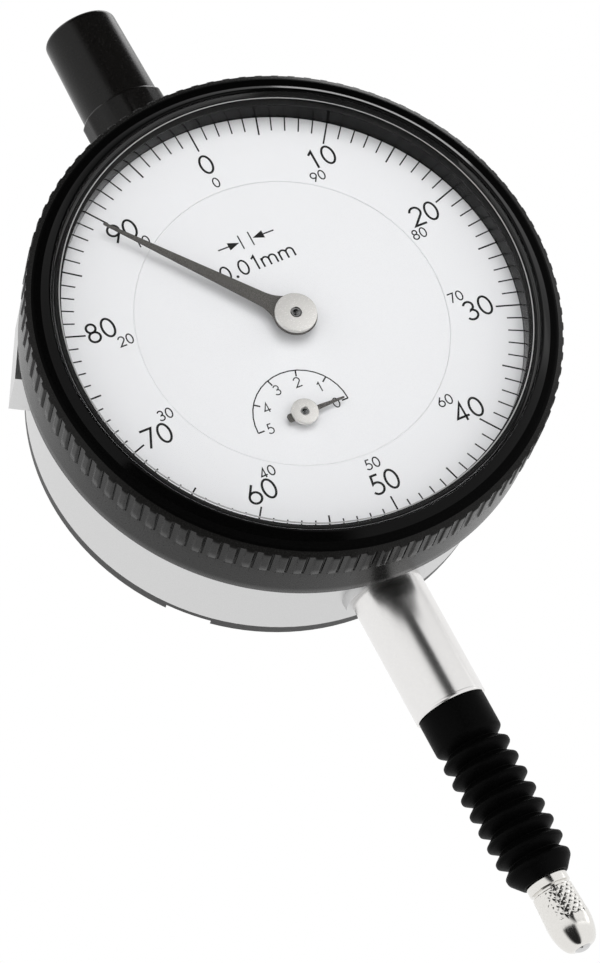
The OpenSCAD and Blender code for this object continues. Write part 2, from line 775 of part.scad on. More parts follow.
// Ribbed rubber hose with a plain cuff on the stem and a tapered cuff on the spindle
module rubber_boot() {
    waist = boot_pitch / 10;
    cuff_edge = 0.2;
    end_in = 0.15;
    end_slope = 0.05;
    function fold(k, shift) = let (top = boot_fold_top - k * boot_pitch) [
        [boot_low_r - shift, top],
        [boot_crest_r - shift, top - boot_pitch / 2 + waist],
        [boot_crest_r - shift, top - boot_pitch / 2 - waist]
    ];
    end_crest = boot_fold_low - boot_pitch / 2;
    outside = concat(
        [[boot_cuff_r, boot_top], [boot_cuff_r, boot_cuff_low + cuff_edge],
         [boot_cuff_r - cuff_edge, boot_cuff_low]],
        [for (k = [0 : boot_folds - 1], p = fold(k, 0)) p],
        [[boot_low_r, boot_fold_low], [boot_crest_r - end_in, end_crest + waist],
         [boot_crest_r - end_in - end_slope, end_crest - waist], [boot_end_r, boot_low]]
    );
    inside = concat(
        [[spigot_r + run_gap, boot_top], [spigot_r + run_gap, boot_cuff_low + boot_wall]],
        [for (k = [0 : boot_folds - 1], p = fold(k, boot_wall)) p],
        [[boot_low_r - boot_wall, boot_fold_low], [boot_grip_r, end_crest], [boot_grip_r, boot_low]]
    );
    count = len(inside);
    color([0.07, 0.07, 0.07]) on_axis() rotate_extrude()
        polygon(concat(outside, [for (i = [count - 1 : -1 : 0]) inside[i]]));
}

module bezel() {
    slope_w = 0.6;
    slope_h = 0.5;
    lip_flat = 0.1;
    lip_w = 0.85;
    lip_fall = 0.7;
    band_in = 0.95;
    band_fall = 0.8;
    grip_fall = 1.45;
    crest_r = crystal_seat_r + slope_w;
    band_r = crest_r + lip_flat + lip_w;
    skirt_r = bezel_r - grip_depth;
    rear_r = skirt_r - skirt_taper;
    edge = 0.2;
    wire_top = wire_d - wire_groove_w / 2;
    wire_floor = bore_r + wire_groove_depth;
    profile = [
        [bore_r, -bezel_back], [bore_r, -wire_top - wire_groove_w], [wire_floor, -wire_top - wire_groove_w],
        [wire_floor, -wire_top], [bore_r, -wire_top], [bore_r, -recess_d], [recess_r, -recess_d],
        [recess_r, 0], [window_r, 0], [window_r, dial_well], [crystal_seat_r, dial_well],
        [crystal_seat_r, lip_h - slope_h], [crest_r, lip_h], [crest_r + lip_flat, lip_h],
        [band_r, lip_h - lip_fall], [bezel_r - band_in, lip_h - band_fall], [bezel_r, lip_h - grip_fall],
        [bezel_r, -grip_back], [skirt_r, -grip_back], [rear_r, -bezel_back + edge],
        [rear_r - edge, -bezel_back]
    ];
    color([0.1, 0.1, 0.1]) on_dial() difference() {
        rotate_extrude() polygon(profile);
        for (k = [0 : grip_count - 1]) rotate(360 / grip_count * k + grip_turn)
            slab(-lip_h - past, grip_back)
                translate([bezel_r - grip_depth, -grip_w / 2]) square([grip_depth + past, grip_w]);
    }
}

module crystal() {
    bevel_w = 0.3;
    bevel_h = 0.25;
    low = crystal_h;
    high = crystal_h + crystal_t;
    profile = [
        [0, low], [crystal_r, low], [crystal_r, high - bevel_h], [crystal_r - bevel_w, high], [0, high]
    ];
    color([0.85, 0.92, 0.95, 0.3]) on_dial() rotate_extrude() polygon(profile);
}

module crystal_gasket() {
    color([0.12, 0.12, 0.12]) on_dial() ring(crystal_r, window_r + rest_gap, -crystal_h, -dial_well);
}

module dial_ring() {
    color("white") on_dial() ring(recess_r - fixed_gap, inner_dial_r + rest_gap, 0, dial_t);
}

module dial_retainer() {
    color("gray") on_dial() ring(recess_r - fixed_gap, recess_r - retainer_w, dial_t, recess_d);
}

module spindle() {
    color("lightsteelblue") on_axis() difference() {
        tube(spindle_r, 0, spindle_low, spindle_high);
        tube(contact_stud_r + fixed_gap, 0, spindle_low - past, spindle_low + contact_stud_len + thread_end);
    }
}

// Sleeve on the spindle with rack teeth on its left side
module rack_sleeve() {
    tip_x = rack_line + tooth_add * rack_module;
    root_x = rack_line - tooth_ded * rack_module;
    gaps_below = floor((arbor_y - rack_low) / rack_pitch);
    gaps_above = floor((rack_high - arbor_y) / rack_pitch);
    open_w = (1 - tip_share) * rack_pitch / 2;
    floor_w = (1 - root_share) * rack_pitch / 2;
    cut_x = sleeve_r + past;
    through = 2 * (sleeve_r + past);
    color("lightslategray") on_axis() difference() {
        tube(sleeve_r, spindle_r + fixed_gap, sleeve_low, sleeve_high);
        translate([-cut_x, -through / 2, rack_low]) cube([cut_x - tip_x, through, rack_high - rack_low]);
        translate([0, through / 2, arbor_y]) rotate([90, 0, 0]) linear_extrude(height = through)
            for (k = [-gaps_below : gaps_above]) translate([0, k * rack_pitch])
                polygon([[-cut_x, -open_w], [-tip_x, -open_w], [-root_x, -floor_w],
                         [-root_x, floor_w], [-tip_x, open_w], [-cut_x, open_w]]);
        translate([0, 0, guide_y]) rotate([0, 90, 0])
            cylinder(r = guide_pin_r + fixed_gap, h = sleeve_r + past);
    }
}

module guide_pin() {
    pin_in = spindle_r + rest_gap;
    color("gray") on_axis() translate([pin_in, 0, guide_y]) rotate([0, 90, 0])
        cylinder(r = guide_pin_r, h = spring_x + spring_r - pin_in);
}

module contact_point() {
    collar_h = 1;
    neck_h = 0.3;
    neck_in = 0.25;
    barrel_in = 0.05;
    nose_h = 3.5;
    nose_flat = 0.1;
    tip_out = 0.35;
    collar_low = spindle_low - collar_h;
    barrel_high = collar_low - neck_h;
    barrel_low = contact_low + nose_h;
    nose_low = contact_low + tip_out;
    neck_r = contact_collar_r - neck_in;
    nose_r = tip_r + nose_flat;
    stud_high = spindle_low + contact_stud_len;
    profile = concat(
        [[0, stud_high], [contact_stud_r, stud_high], [contact_stud_r, spindle_low],
         [contact_collar_r, spindle_low], [contact_collar_r, collar_low],
         [neck_r, collar_low], [neck_r, barrel_high],
         [contact_collar_r - barrel_in, barrel_high], [contact_r, barrel_low]],
        arc([nose_r, barrel_low], contact_r - nose_r, barrel_low - nose_low, 0, -90, 10),
        [[tip_r + fixed_gap, nose_low], [tip_r + fixed_gap, tip_high], [0, tip_high]]
    );
    color("silver") on_axis() rotate_extrude() polygon(profile);
}

module contact_tip() {
    round_h = 0.5;
    profile = concat(
        [[0, tip_high], [tip_r, tip_high]],
        arc([0, contact_low + round_h], tip_r, round_h, 0, -90, 8)
    );
    color("slategray") on_axis() rotate_extrude() polygon(profile);
}

module centre_arbor() {
    front = main_hand_h + main_hand_t + main_hub_t - hub_recess;
    color("gold") on_dial() {
        ring(centre_pivot_r, 0, -front, rear_plate_back - rest_gap);
        ring(arbor_r, 0, ledge_d + rest_gap, rear_plate_d - rest_gap);
        rotate(arbor_angle + 180 / pinion_teeth)
            slab(gear_d - pinion_over, gear_d + gear_t + pinion_over)
                polygon(gear_outline(pinion_teeth, gear_module));
    }
}

module main_hand() {
    root_w = 1.87;
    tip_w = 0.23;
    plate_lap = 0.1;
    color([0.3, 0.29, 0.28]) on_dial() rotate(90 - main_hand_angle)
        slab(-main_hand_h - main_hand_t, -main_hand_h) difference() {
            union() {
                circle(main_hub_d / 2 + plate_lap);
                polygon([[0, -root_w / 2], [main_hand_len, -tip_w / 2], [main_hand_len, tip_w / 2],
                         [0, root_w / 2]]);
            }
            circle(main_collar_r + fixed_gap);
        }
}

module main_hand_hub() {
    color("gainsboro") on_dial() difference() {
        union() {
            ring(main_hub_d / 2, 0, -(main_hand_h + main_hand_t + main_hub_t), -(main_hand_h + main_hand_t));
            ring(main_collar_r, 0, -(main_hand_h + main_hand_t), -(main_hand_h - main_collar_h));
        }
        ring(centre_pivot_r + fixed_gap, 0, -lip_h, dial_t);
    }
}

module rack_arbor() {
    front = small_hand_h + small_hand_t + small_hub_t - hub_recess;
    color("gold") on_dial() translate(rack_arbor) {
        ring(pivot_r, 0, -front, cock_d + cock_t - rest_gap);
        ring(rack_arbor_r, 0, ledge_d + rest_gap, cock_d - rest_gap);
        slab(spindle_back - rack_pinion_w / 2, spindle_back + rack_pinion_w / 2)
            polygon(gear_outline(rack_pinion_teeth, rack_module));
    }
}

// A spoked gear with one tooth turned to the given direction
module big_gear(place, direction, hole_r) {
    web_place = gear_r * web_place_share;
    web_r = gear_r * web_size_share;
    web_count = 5;
    on_dial() translate(place) rotate(direction) slab(gear_d, gear_d + gear_t) difference() {
        polygon(gear_outline(gear_teeth, gear_module));
        circle(hole_r + fixed_gap);
        for (k = [0 : web_count - 1]) rotate(360 / web_count * k) translate([web_place, 0]) circle(web_r);
    }
}

module rack_gear() { color("gold") big_gear(rack_arbor, arbor_angle + 180, rack_arbor_r); }

module small_hand() {
    root_w = 0.62;
    tip_w = 0.2;
    tail_over = 0.45;
    plate_in = 0.2;
    tail_len = small_hub_d / 2 + tail_over;
    tail_w = 0.9;
    color([0.3, 0.29, 0.28]) on_dial() translate(rack_arbor)
        slab(-small_hand_h - small_hand_t, -small_hand_h) difference() {
            union() {
                circle(small_hub_d / 2 - plate_in);
                polygon([[0, -root_w / 2], [small_hand_len, -tip_w / 2], [small_hand_len, tip_w / 2],
                         [0, root_w / 2]]);
                translate([-tail_len, -tail_w / 2]) square([tail_len, tail_w]);
            }
            circle(small_collar_r + fixed_gap);
        }
}

module small_hand_hub() {
    hub_low = small_hand_h + small_hand_t;
    color("gainsboro") on_dial() translate(rack_arbor) difference() {
        union() {
            ring(small_hub_d / 2, 0, -(hub_low + small_hub_t), -hub_low);
            ring(small_collar_r, 0, -hub_low, -(small_hand_h - small_collar_h));
        }
        ring(pivot_r + fixed_gap, 0, -lip_h, dial_t);
    }
}

module hairspring_arbor() {
    color("gold") on_dial() translate(hair_arbor) {
        ring(pivot_r, 0, front_plate_d + rest_gap, rear_plate_back - rest_gap);
        ring(arbor_r, 0, ledge_d + rest_gap, rear_plate_d - rest_gap);
    }
}

module hairspring_gear() { color("gold") big_gear(hair_arbor, arbor_angle, arbor_r); }

module hairspring_collet() {
    color("goldenrod") on_dial() translate(hair_arbor)
        ring(collet_r, arbor_r + fixed_gap, coil_d, coil_d + coil_t);
}

case();
stem();
lower_bush();
inner_bush();
upper_bush();
cap_seal();
cap_collar();
top_cap();
back_cover();
back_cover_gasket();
back_cover_screws();
front_plate();
rear_plate();
plate_pillars();
pillar_screws();
movement_screws();
inner_dial();
dial_seat();
rack_arbor_cock();
cock_screws();
guide_rail();
guide_rail_screws();
spring_post();
return_spring();
hairspring();
hairspring_stud();
pivot_jewels();
bezel_seal();
bezel_retaining_ring();
stop_washer();
rubber_boot();
bezel();
crystal();
crystal_gasket();
dial_ring();
dial_retainer();
spindle();
rack_sleeve();
guide_pin();
contact_point();
contact_tip();
centre_arbor();
main_hand();
main_hand_hub();
rack_arbor();
rack_gear();
small_hand();
small_hand_hub();
hairspring_arbor();
hairspring_gear();
hairspring_collet();
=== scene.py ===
"""Looks of the dial indicator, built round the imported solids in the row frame.

Lengths are in millimetres and become metres where a mesh is made.
"""

import math

import bmesh
import bpy
from mathutils import Matrix, Vector


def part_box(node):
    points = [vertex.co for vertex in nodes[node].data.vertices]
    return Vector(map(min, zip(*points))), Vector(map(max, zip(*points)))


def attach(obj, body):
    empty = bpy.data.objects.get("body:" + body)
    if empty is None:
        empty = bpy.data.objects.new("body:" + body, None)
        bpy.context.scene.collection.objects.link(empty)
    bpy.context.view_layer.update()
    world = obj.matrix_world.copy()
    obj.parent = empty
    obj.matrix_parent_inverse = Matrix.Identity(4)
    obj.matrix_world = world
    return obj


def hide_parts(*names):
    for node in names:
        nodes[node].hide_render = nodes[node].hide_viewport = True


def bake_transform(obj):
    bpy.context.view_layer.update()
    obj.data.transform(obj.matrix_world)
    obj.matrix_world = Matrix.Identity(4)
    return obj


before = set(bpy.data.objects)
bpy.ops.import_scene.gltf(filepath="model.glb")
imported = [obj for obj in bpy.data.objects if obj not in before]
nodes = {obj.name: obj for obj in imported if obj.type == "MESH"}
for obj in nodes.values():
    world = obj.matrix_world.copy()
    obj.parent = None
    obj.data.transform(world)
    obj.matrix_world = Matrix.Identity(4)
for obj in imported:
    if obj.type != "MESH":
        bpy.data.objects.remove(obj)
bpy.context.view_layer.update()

MM = 0.001


def span(node):
    """Lowest and highest corner of a solid, in millimetres."""
    low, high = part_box(node)
    return Vector(low) / MM, Vector(high) / MM


# Places that the solids give
scale_low, scale_high = span("dial_ring")
bezel_low, bezel_high = span("bezel")
crystal_low, crystal_high = span("crystal")
hand_low, hand_high = span("main_hand")
hub_low, hub_high = span("main_hand_hub")
small_low, small_high = span("small_hand")
small_hub_low, small_hub_high = span("small_hand_hub")
boot_low, boot_high = span("rubber_boot")
collar_low, collar_high = span("cap_collar")
inner_low, inner_high = span("inner_dial")
stem_low, stem_high = span("stem")
contact_low = span("contact_point")[0]
tip_low = span("contact_tip")[0]
FACE_Y = scale_low.y
DIAL_Z = (scale_low.z + scale_high.z) / 2
BEZEL_R = (bezel_high.x - bezel_low.x) / 2
SMALL_MID = ((small_hub_low.x + small_hub_high.x) / 2, (small_hub_low.z + small_hub_high.z) / 2 - DIAL_Z)


def front(y):
    """Height in front of the dial's face of a place along Y."""
    return FACE_Y - y


# Points in the dial's frame and round the spindle


def on_dial(x, up, out):
    """A point right of, above and in front of the middle of the dial."""
    return Vector((x, FACE_Y - out, DIAL_Z + up)) * MM


def round_dial(radius, angle, out):
    """A point at an angle clockwise from the top of the dial."""
    return on_dial(radius * math.sin(angle), radius * math.cos(angle), out)


def round_small_dial(radius, angle, out):
    """A point round the middle of the short hand."""
    return on_dial(SMALL_MID[0] + radius * math.sin(angle), SMALL_MID[1] + radius * math.cos(angle), out)


def round_spindle(radius, angle, height):
    """A point round the spindle's axis at a height along Z."""
    return Vector((radius * math.sin(angle), -radius * math.cos(angle), height)) * MM


# Mesh makers

# Angles from which an edge stays sharp
SHARP = math.radians(38)
BOOT_SHARP = math.radians(60)
CONTACT_SHARP = math.radians(28)
COLLAR_SHARP = math.radians(50)


def piece(name, points, faces, material, sharp=SHARP):
    """A smooth mesh with sharp edges kept."""
    mesh = bpy.data.meshes.new(name)
    mesh.from_pydata(points, [], faces)
    shape = bmesh.new()
    shape.from_mesh(mesh)
    bmesh.ops.recalc_face_normals(shape, faces=shape.faces)
    shape.to_mesh(mesh)
    shape.free()
    for face in mesh.polygons:
        face.use_smooth = True
    mesh.set_sharp_from_angle(angle=sharp)
    mesh.materials.append(material)
    made = bpy.data.objects.new(name, mesh)
    bpy.context.scene.collection.objects.link(made)
    return made


def strip(first, second):
    """Faces between two rings of point numbers. A ring of one number closes to a point."""
    if len(first) == 1 and len(second) == 1:
        return []
    count = max(len(first), len(second))
    faces = []
    for k in range(count):
        after = (k + 1) % count
        if len(first) == 1:
            faces.append((first[0], second[k], second[after]))
        elif len(second) == 1:
            faces.append((first[k], second[0], first[after]))
        else:
            faces.append((first[k], second[k], second[after], first[after]))
    return faces


def even(steps):
    """Angles spread evenly round a full turn."""
    return [2 * math.pi * k / steps for k in range(steps)]


def turned(outline, place, angles, shape=None):
    """Points and faces of a closed outline of (radius, height) turned about an axis.

    shape, if given, changes the radius at an angle and a height.
    """
    points = []
    rings = []
    for radius, height in outline:
        first = len(points)
        if radius < 1e-6:
            points.append(place(0, 0, height))
            rings.append([first])
            continue
        for angle in angles:
            here = shape(radius, angle, height) if shape else radius
            points.append(place(here, angle, height))
        rings.append(list(range(first, first + len(angles))))
    faces = []
    for first, second in zip(rings, rings[1:] + rings[:1]):
        faces += strip(first, second)
    return points, faces


def bent(start, corner, end, bends):
    """Points on a curve from start to end that bends round a corner."""
    points = []
    for k in range(bends + 1):
        t = k / bends
        bend = start * (1 - t) ** 2 + corner * 2 * t * (1 - t) + end * t**2
        points.append((bend.x, bend.y))
    return points


def softened(corners, bends=4):
    """A closed outline whose corners (radius, height, rounding) are rounded off."""
    outline = []
    for i, (x, y, rounding) in enumerate(corners):
        corner = Vector((x, y))
        if rounding == 0:
            outline.append((x, y))
            continue
        before = Vector(corners[i - 1][:2])
        after = Vector(corners[(i + 1) % len(corners)][:2])
        start = corner + (before - corner).normalized() * rounding
        end = corner + (after - corner).normalized() * rounding
        outline += bent(start, corner, end, bends)
    return outline


def mitre(back, ahead, least):
    """The way sideways at a corner, longer where the corner is sharper.

    least keeps it from growing without end where a path doubles back.
    """
    back = back.normalized()
    ahead = ahead.normalized()
    side = Vector((-(back.y + ahead.y), back.x + ahead.x)).normalized()
    return side / max(least, side.dot(Vector((-back.y, back.x))))


def inset(outline, distance):
    """An outline moved inwards. The outline runs anticlockwise."""
    moved = []
    for i, here in enumerate(outline):
        here = Vector(here)
        back = here - Vector(outline[i - 1])
        ahead = Vector(outline[(i + 1) % len(outline)]) - here
        moved.append(tuple(here + mitre(back, ahead, 0.4) * distance))
    return moved


def plate(outline, low, high, bevel, place):
    """Points and faces of a flat plate with a bevelled front edge.

    The outline of (x, y) is seen from the plate's front and runs anticlockwise.
    """
    count = len(outline)
    inner = inset(outline, bevel)
    layers = [(outline, low), (outline, high - bevel), (inner, high)]
    points = [place(x, y, out) for layer, out in layers for x, y in layer]
    rings = [list(range(i * count, (i + 1) * count)) for i in range(len(layers))]
    faces = strip(rings[0], rings[1]) + strip(rings[1], rings[2])
    faces.append(tuple(rings[0]))
    faces.append(tuple(rings[2]))
    return points, faces


# Materials

NOISE_LOW = 0.3
NOISE_HIGH = 0.7
BUMP_DEPTH = 2e-5
HAZE_SCALE = 600
HAZE_ROUGH = 0.02
CRYSTAL_IOR = 1.1


def shader(name):
    """A new material with its Principled node and its node tree."""
    material = bpy.data.materials.new(name)
    material.use_nodes = True
    tree = material.node_tree
    return material, tree.nodes["Principled BSDF"], tree


def link(tree, source, target):
    tree.links.new(source, target)


def spread(tree, value, start, end, first=0.0, last=1.0, soft=False):
    """A number that goes from first to last while a value goes from start to end."""
    steps = tree.nodes.new("ShaderNodeMapRange")
    if soft:
        steps.interpolation_type = "SMOOTHSTEP"
    steps.inputs["From Min"].default_value = start
    steps.inputs["From Max"].default_value = end
    steps.inputs["To Min"].default_value = first
    steps.inputs["To Max"].default_value = last
    link(tree, value, steps.inputs["Value"])
    return steps.outputs["Result"]


def place_of(tree, stretch):
    """The object's own coordinates, stretched."""
    where = tree.nodes.new("ShaderNodeTexCoord")
    mapping = tree.nodes.new("ShaderNodeMapping")
    mapping.inputs["Scale"].default_value = stretch
    link(tree, where.outputs["Object"], mapping.inputs["Vector"])
    return mapping.outputs["Vector"]


def finish(name, dark, light, rough, metal=0.0, shine=0.5, scale=4000, stretch=(1, 1, 1), bump=0.0):
    """A material whose colour, roughness and relief follow a fine noise."""
    material, surface, tree = shader(name)
    noise = tree.nodes.new("ShaderNodeTexNoise")
    noise.inputs["Scale"].default_value = scale
    noise.inputs["Detail"].default_value = 4
    link(tree, place_of(tree, stretch), noise.inputs["Vector"])
    ramp = tree.nodes.new("ShaderNodeValToRGB")
    ramp.color_ramp.elements[0].position = NOISE_LOW
    ramp.color_ramp.elements[0].color = (*dark, 1)
    ramp.color_ramp.elements[1].position = NOISE_HIGH
    ramp.color_ramp.elements[1].color = (*light, 1)
    link(tree, noise.outputs["Fac"], ramp.inputs["Fac"])
    link(tree, ramp.outputs["Color"], surface.inputs["Base Color"])
    roughness = spread(tree, noise.outputs["Fac"], NOISE_LOW, NOISE_HIGH, *rough)
    link(tree, roughness, surface.inputs["Roughness"])
    surface.inputs["Metallic"].default_value = metal
    surface.inputs["Specular IOR Level"].default_value = shine
    if bump:
        relief = tree.nodes.new("ShaderNodeBump")
        relief.inputs["Strength"].default_value = bump
        relief.inputs["Distance"].default_value = BUMP_DEPTH
        link(tree, noise.outputs["Fac"], relief.inputs["Height"])
        link(tree, relief.outputs["Normal"], surface.inputs["Normal"])
    return material


def glass(name):
    """Clear plastic. Only what the eye sees through it is bent, and light passes straight on."""
    material, surface, tree = shader(name)
    noise = tree.nodes.new("ShaderNodeTexNoise")
    noise.inputs["Scale"].default_value = HAZE_SCALE
    link(tree, place_of(tree, (1, 1, 1)), noise.inputs["Vector"])
    haze = spread(tree, noise.outputs["Fac"], 0, 1, 0, HAZE_ROUGH)
    link(tree, haze, surface.inputs["Roughness"])
    surface.inputs["Base Color"].default_value = (1, 1, 1, 1)
    surface.inputs["Transmission Weight"].default_value = 1
    surface.inputs["IOR"].default_value = CRYSTAL_IOR
    clear = tree.nodes.new("ShaderNodeBsdfTransparent")
    path = tree.nodes.new("ShaderNodeLightPath")
    mix = tree.nodes.new("ShaderNodeMixShader")
    mirrored = tree.nodes.new("ShaderNodeMath")
    mirrored.operation = "SUBTRACT"
    link(tree, path.outputs["Is Glossy Ray"], mirrored.inputs[0])
    link(tree, path.outputs["Is Transmission Ray"], mirrored.inputs[1])
    through = path.outputs["Is Shadow Ray"]
    for kind in (path.outputs["Is Diffuse Ray"], mirrored.outputs["Value"]):
        either = tree.nodes.new("ShaderNodeMath")
        either.operation = "MAXIMUM"
        link(tree, through, either.inputs[0])
        link(tree, kind, either.inputs[1])
        through = either.outputs["Value"]
    link(tree, through, mix.inputs["Fac"])
    link(tree, surface.outputs["BSDF"], mix.inputs[1])
    link(tree, clear.outputs["BSDF"], mix.inputs[2])
    link(tree, mix.outputs["Shader"], tree.nodes["Material Output"].inputs["Surface"])
    return material


def grey(value):
    return (value, value, value)


CASE_ALU = finish("satin_aluminium", grey(0.63), grey(0.72), (0.34, 0.46), 1, scale=9000, bump=0.15)
STEM_STEEL = finish(
    "ground_steel", (0.77, 0.76, 0.75), (0.86, 0.85, 0.84), (0.18, 0.26), 1, 0.5, 2500, (1, 1, 12), 0.05
)
BRASS = finish("brass", (0.55, 0.38, 0.14), (0.72, 0.52, 0.22), (0.25, 0.4), 1, scale=3000)
SCREW_STEEL = finish("screw_steel", grey(0.42), grey(0.62), (0.25, 0.4), 1, scale=3000)
CAP_PLASTIC = finish(
    "cap_plastic", (0.003, 0.0028, 0.0026), (0.007, 0.0065, 0.006), (0.2, 0.28), 0, 0.24, 5000, bump=0.1
)
GRIP_PLASTIC = finish(
    "grip_plastic", (0.007, 0.0068, 0.0065), (0.012, 0.0117, 0.0113), (0.22, 0.3), 0, 0.1, 6000, bump=0.05
)
BAND_PLASTIC = finish("band_plastic", grey(0.001), grey(0.002), (0.3, 0.4), 0, 0.02, 6000, bump=0.05)
LIP_PLASTIC = finish("lip_plastic", grey(0.001), grey(0.002), (0.08, 0.14), 0, 0.1, 6000, bump=0.03)
RING_PLASTIC = finish("ring_plastic", grey(0.008), grey(0.014), (0.03, 0.07), 0, 0.5, 6000)
WELL_PLASTIC = finish("well_plastic", grey(0.002), grey(0.004), (0.03, 0.05), 0, 0.12, 6000)
SEAT_RUBBER = finish("seat_rubber", grey(0.016), grey(0.024), (0.5, 0.6), 0, 0.1, 6000)
BOOT_RUBBER = finish("boot_rubber", grey(0.001), grey(0.002), (0.4, 0.52), 0, 0.035, 4000, bump=0.2)
SEAL_RUBBER = finish("seal_rubber", grey(0.004), grey(0.01), (0.5, 0.65), 0, 0.2, 4000, bump=0.2)
COVER_PAINT = finish("cover_paint", grey(0.02), grey(0.035), (0.4, 0.55), 0, 0.4, 5000, bump=0.25)
DIAL_WHITE = finish(
    "dial_white", (0.83, 0.835, 0.85), (0.86, 0.865, 0.88), (0.45, 0.55), 0, 0.4, 9000, bump=0.04
)
INK = finish("dial_ink", grey(0.008), grey(0.02), (0.5, 0.65), 0, 0.2, 9000)
HAND_METAL = finish(
    "hand_metal", (0.05, 0.047, 0.043), (0.15, 0.145, 0.137), (0.4, 0.55), 0.2, 0.3, 9000, bump=0.3
)
HUB_METAL = finish(
    "hub_metal", (0.74, 0.725, 0.70), (0.82, 0.805, 0.78), (0.2, 0.28), 0.4, 0.5, 4000, (1, 1, 9), 0.04
)
CONTACT_STEEL = finish(
    "contact_steel", (0.74, 0.725, 0.695), (0.81, 0.795, 0.765), (0.12, 0.18), 1, 0.5, 9000, bump=0.02
)
TIP_CARBIDE = finish("tip_carbide", grey(0.58), grey(0.68), (0.12, 0.2), 1)
PIN_STEEL = finish("pin_steel", grey(0.1), grey(0.2), (0.2, 0.3), 1, scale=9000)
JEWEL = finish("jewel", (0.45, 0.02, 0.05), (0.65, 0.05, 0.10), (0.05, 0.1), scale=2000)
GROUND_EDGE = finish("ground_edge", grey(0.34), grey(0.46), (0.5, 0.65), 0, 0.3, 9000)
CRYSTAL = glass("crystal_clear")

SOLID_LOOKS = {
    "case": CASE_ALU,
    "stem": STEM_STEEL,
    "cap_seal": SEAL_RUBBER,
    "top_cap": CAP_PLASTIC,
    "back_cover": COVER_PAINT,
    "back_cover_gasket": SEAL_RUBBER,
    "bezel_seal": SEAL_RUBBER,
    "crystal_gasket": SEAL_RUBBER,
    "crystal": CRYSTAL,
    "inner_dial": DIAL_WHITE,
    "contact_tip": TIP_CARBIDE,
    "pivot_jewels": JEWEL,
}
BRASS_NODES = [
    "lower_bush",
    "inner_bush",
    "upper_bush",
    "front_plate",
    "rear_plate",
    "plate_pillars",
    "dial_seat",
    "rack_arbor_cock",
    "rack_gear",
    "hairspring_gear",
    "hairspring_collet",
    "hairspring_stud",
]
SOLID_LOOKS.update({name: BRASS for name in BRASS_NODES})
for name, solid in nodes.items():
    solid.data.materials.clear()
    solid.data.materials.append(SOLID_LOOKS.get(name, SCREW_STEEL))

# Plate of the turning scale, with a soft inner edge, and the light bottom of the gap beside it

SCALE_OUT_R = (scale_high.x - scale_low.x) / 2
SCALE_BACK = front(scale_high.y)
SCALE_IN_R = 16.75
SCALE_SOFT = 0.16
GAP_FLOOR = -0.14
GAP_RISE = 0.04
RIM_R = SCALE_IN_R - 0.01
INNER_R = (inner_high.x - inner_low.x) / 2
FINE_TURN = even(400)
plate_outline = softened(
    [
        (SCALE_IN_R, SCALE_BACK, 0),
        (SCALE_OUT_R, SCALE_BACK, 0),
        (SCALE_OUT_R, 0, 0),
        (SCALE_IN_R, 0, SCALE_SOFT),
    ]
)
points, faces = turned(plate_outline, round_dial, FINE_TURN)
scale_plate = piece("scale_plate", points, faces, DIAL_WHITE)
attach(scale_plate, "bezel")
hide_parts("dial_ring")

rim_outline = [
    (INNER_R, SCALE_BACK),
    (RIM_R, SCALE_BACK),
    (RIM_R, GAP_FLOOR),
    (INNER_R, GAP_FLOOR + GAP_RISE),
]
points, faces = turned(rim_outline, round_dial, FINE_TURN)
rim = piece("inner_dial_rim", points, faces, DIAL_WHITE)
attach(rim, "case")

# Bezel: skirt and grip ribs, black front band, polished lip and the dark wall round the dial

# The ribs stand on the skirt with a gap between them
GRIP_COUNT = 100
GRIP_GAP = 0.95
GRIP_HEIGHT = 0.16
GRIP_BACK = -1.3
GRIP_TURN = math.radians(-0.8)
GRIP_SOFT = 0.07
SLOT_W = 0.25
SLOT_DEPTH = 0.19
SLOT_RISE = 0.8
SLOT_START = 0.3
LIP_H = front(bezel_low.y)
SKIRT_H = front(bezel_high.y)
SKIRT_R = BEZEL_R - GRIP_HEIGHT
REAR_R = SKIRT_R - 0.1
REAR_SOFT = 0.2
GRIP_FRONT = (BEZEL_R, LIP_H - 1.45)
BAND_OUT = (BEZEL_R - 0.95, LIP_H - 0.8)
SEAT_R = (crystal_high.x - crystal_low.x) / 2 + 0.01
CREST_IN = SEAT_R + 0.66
CREST_OUT = CREST_IN + 0.08
BAND_IN = (CREST_OUT + 0.81, LIP_H - 0.7)
RING_IN = (SEAT_R + 0.1, LIP_H - 0.62)
RING_OUT = (SEAT_R + 0.43, LIP_H - 0.28)
WINDOW_R = 24.6
WELL_H = 2.5
FOOT_H = 0.3
SEAT_FLOOR = front(crystal_high.y) - 0.01
RECESS_R = SCALE_OUT_R + 0.02
RECESS_H = front(span("dial_retainer")[1].y)
BORE_R = 26.05
SEAM = 0.02


def ease(value):
    """A soft step from 0 to 1."""
    value = min(1, max(0, value))
    return value * value * (3 - 2 * value)


def gripped(radius, angle, out):
    """The radius of the grip: ribs above the skirt, with a slot beside and behind each of them."""
    if radius <= SKIRT_R:
        return radius
    pitch = 2 * math.pi / GRIP_COUNT
    aside = ((angle - GRIP_TURN + pitch / 2) % pitch - pitch / 2) * BEZEL_R
    rib = ease((abs(aside) - GRIP_GAP / 2 + GRIP_SOFT) / (2 * GRIP_SOFT))
    if out < GRIP_BACK:
        return SKIRT_R - SLOT_DEPTH * rib
    into = min(1, max(0, (GRIP_GAP / 2 - GRIP_SOFT - aside) / SLOT_W))
    slot = SLOT_DEPTH * ease(4 * into * (1 - into)) * ease(SLOT_START + (out - GRIP_BACK) / SLOT_RISE)
    return SKIRT_R + (radius - SKIRT_R) * rib - slot


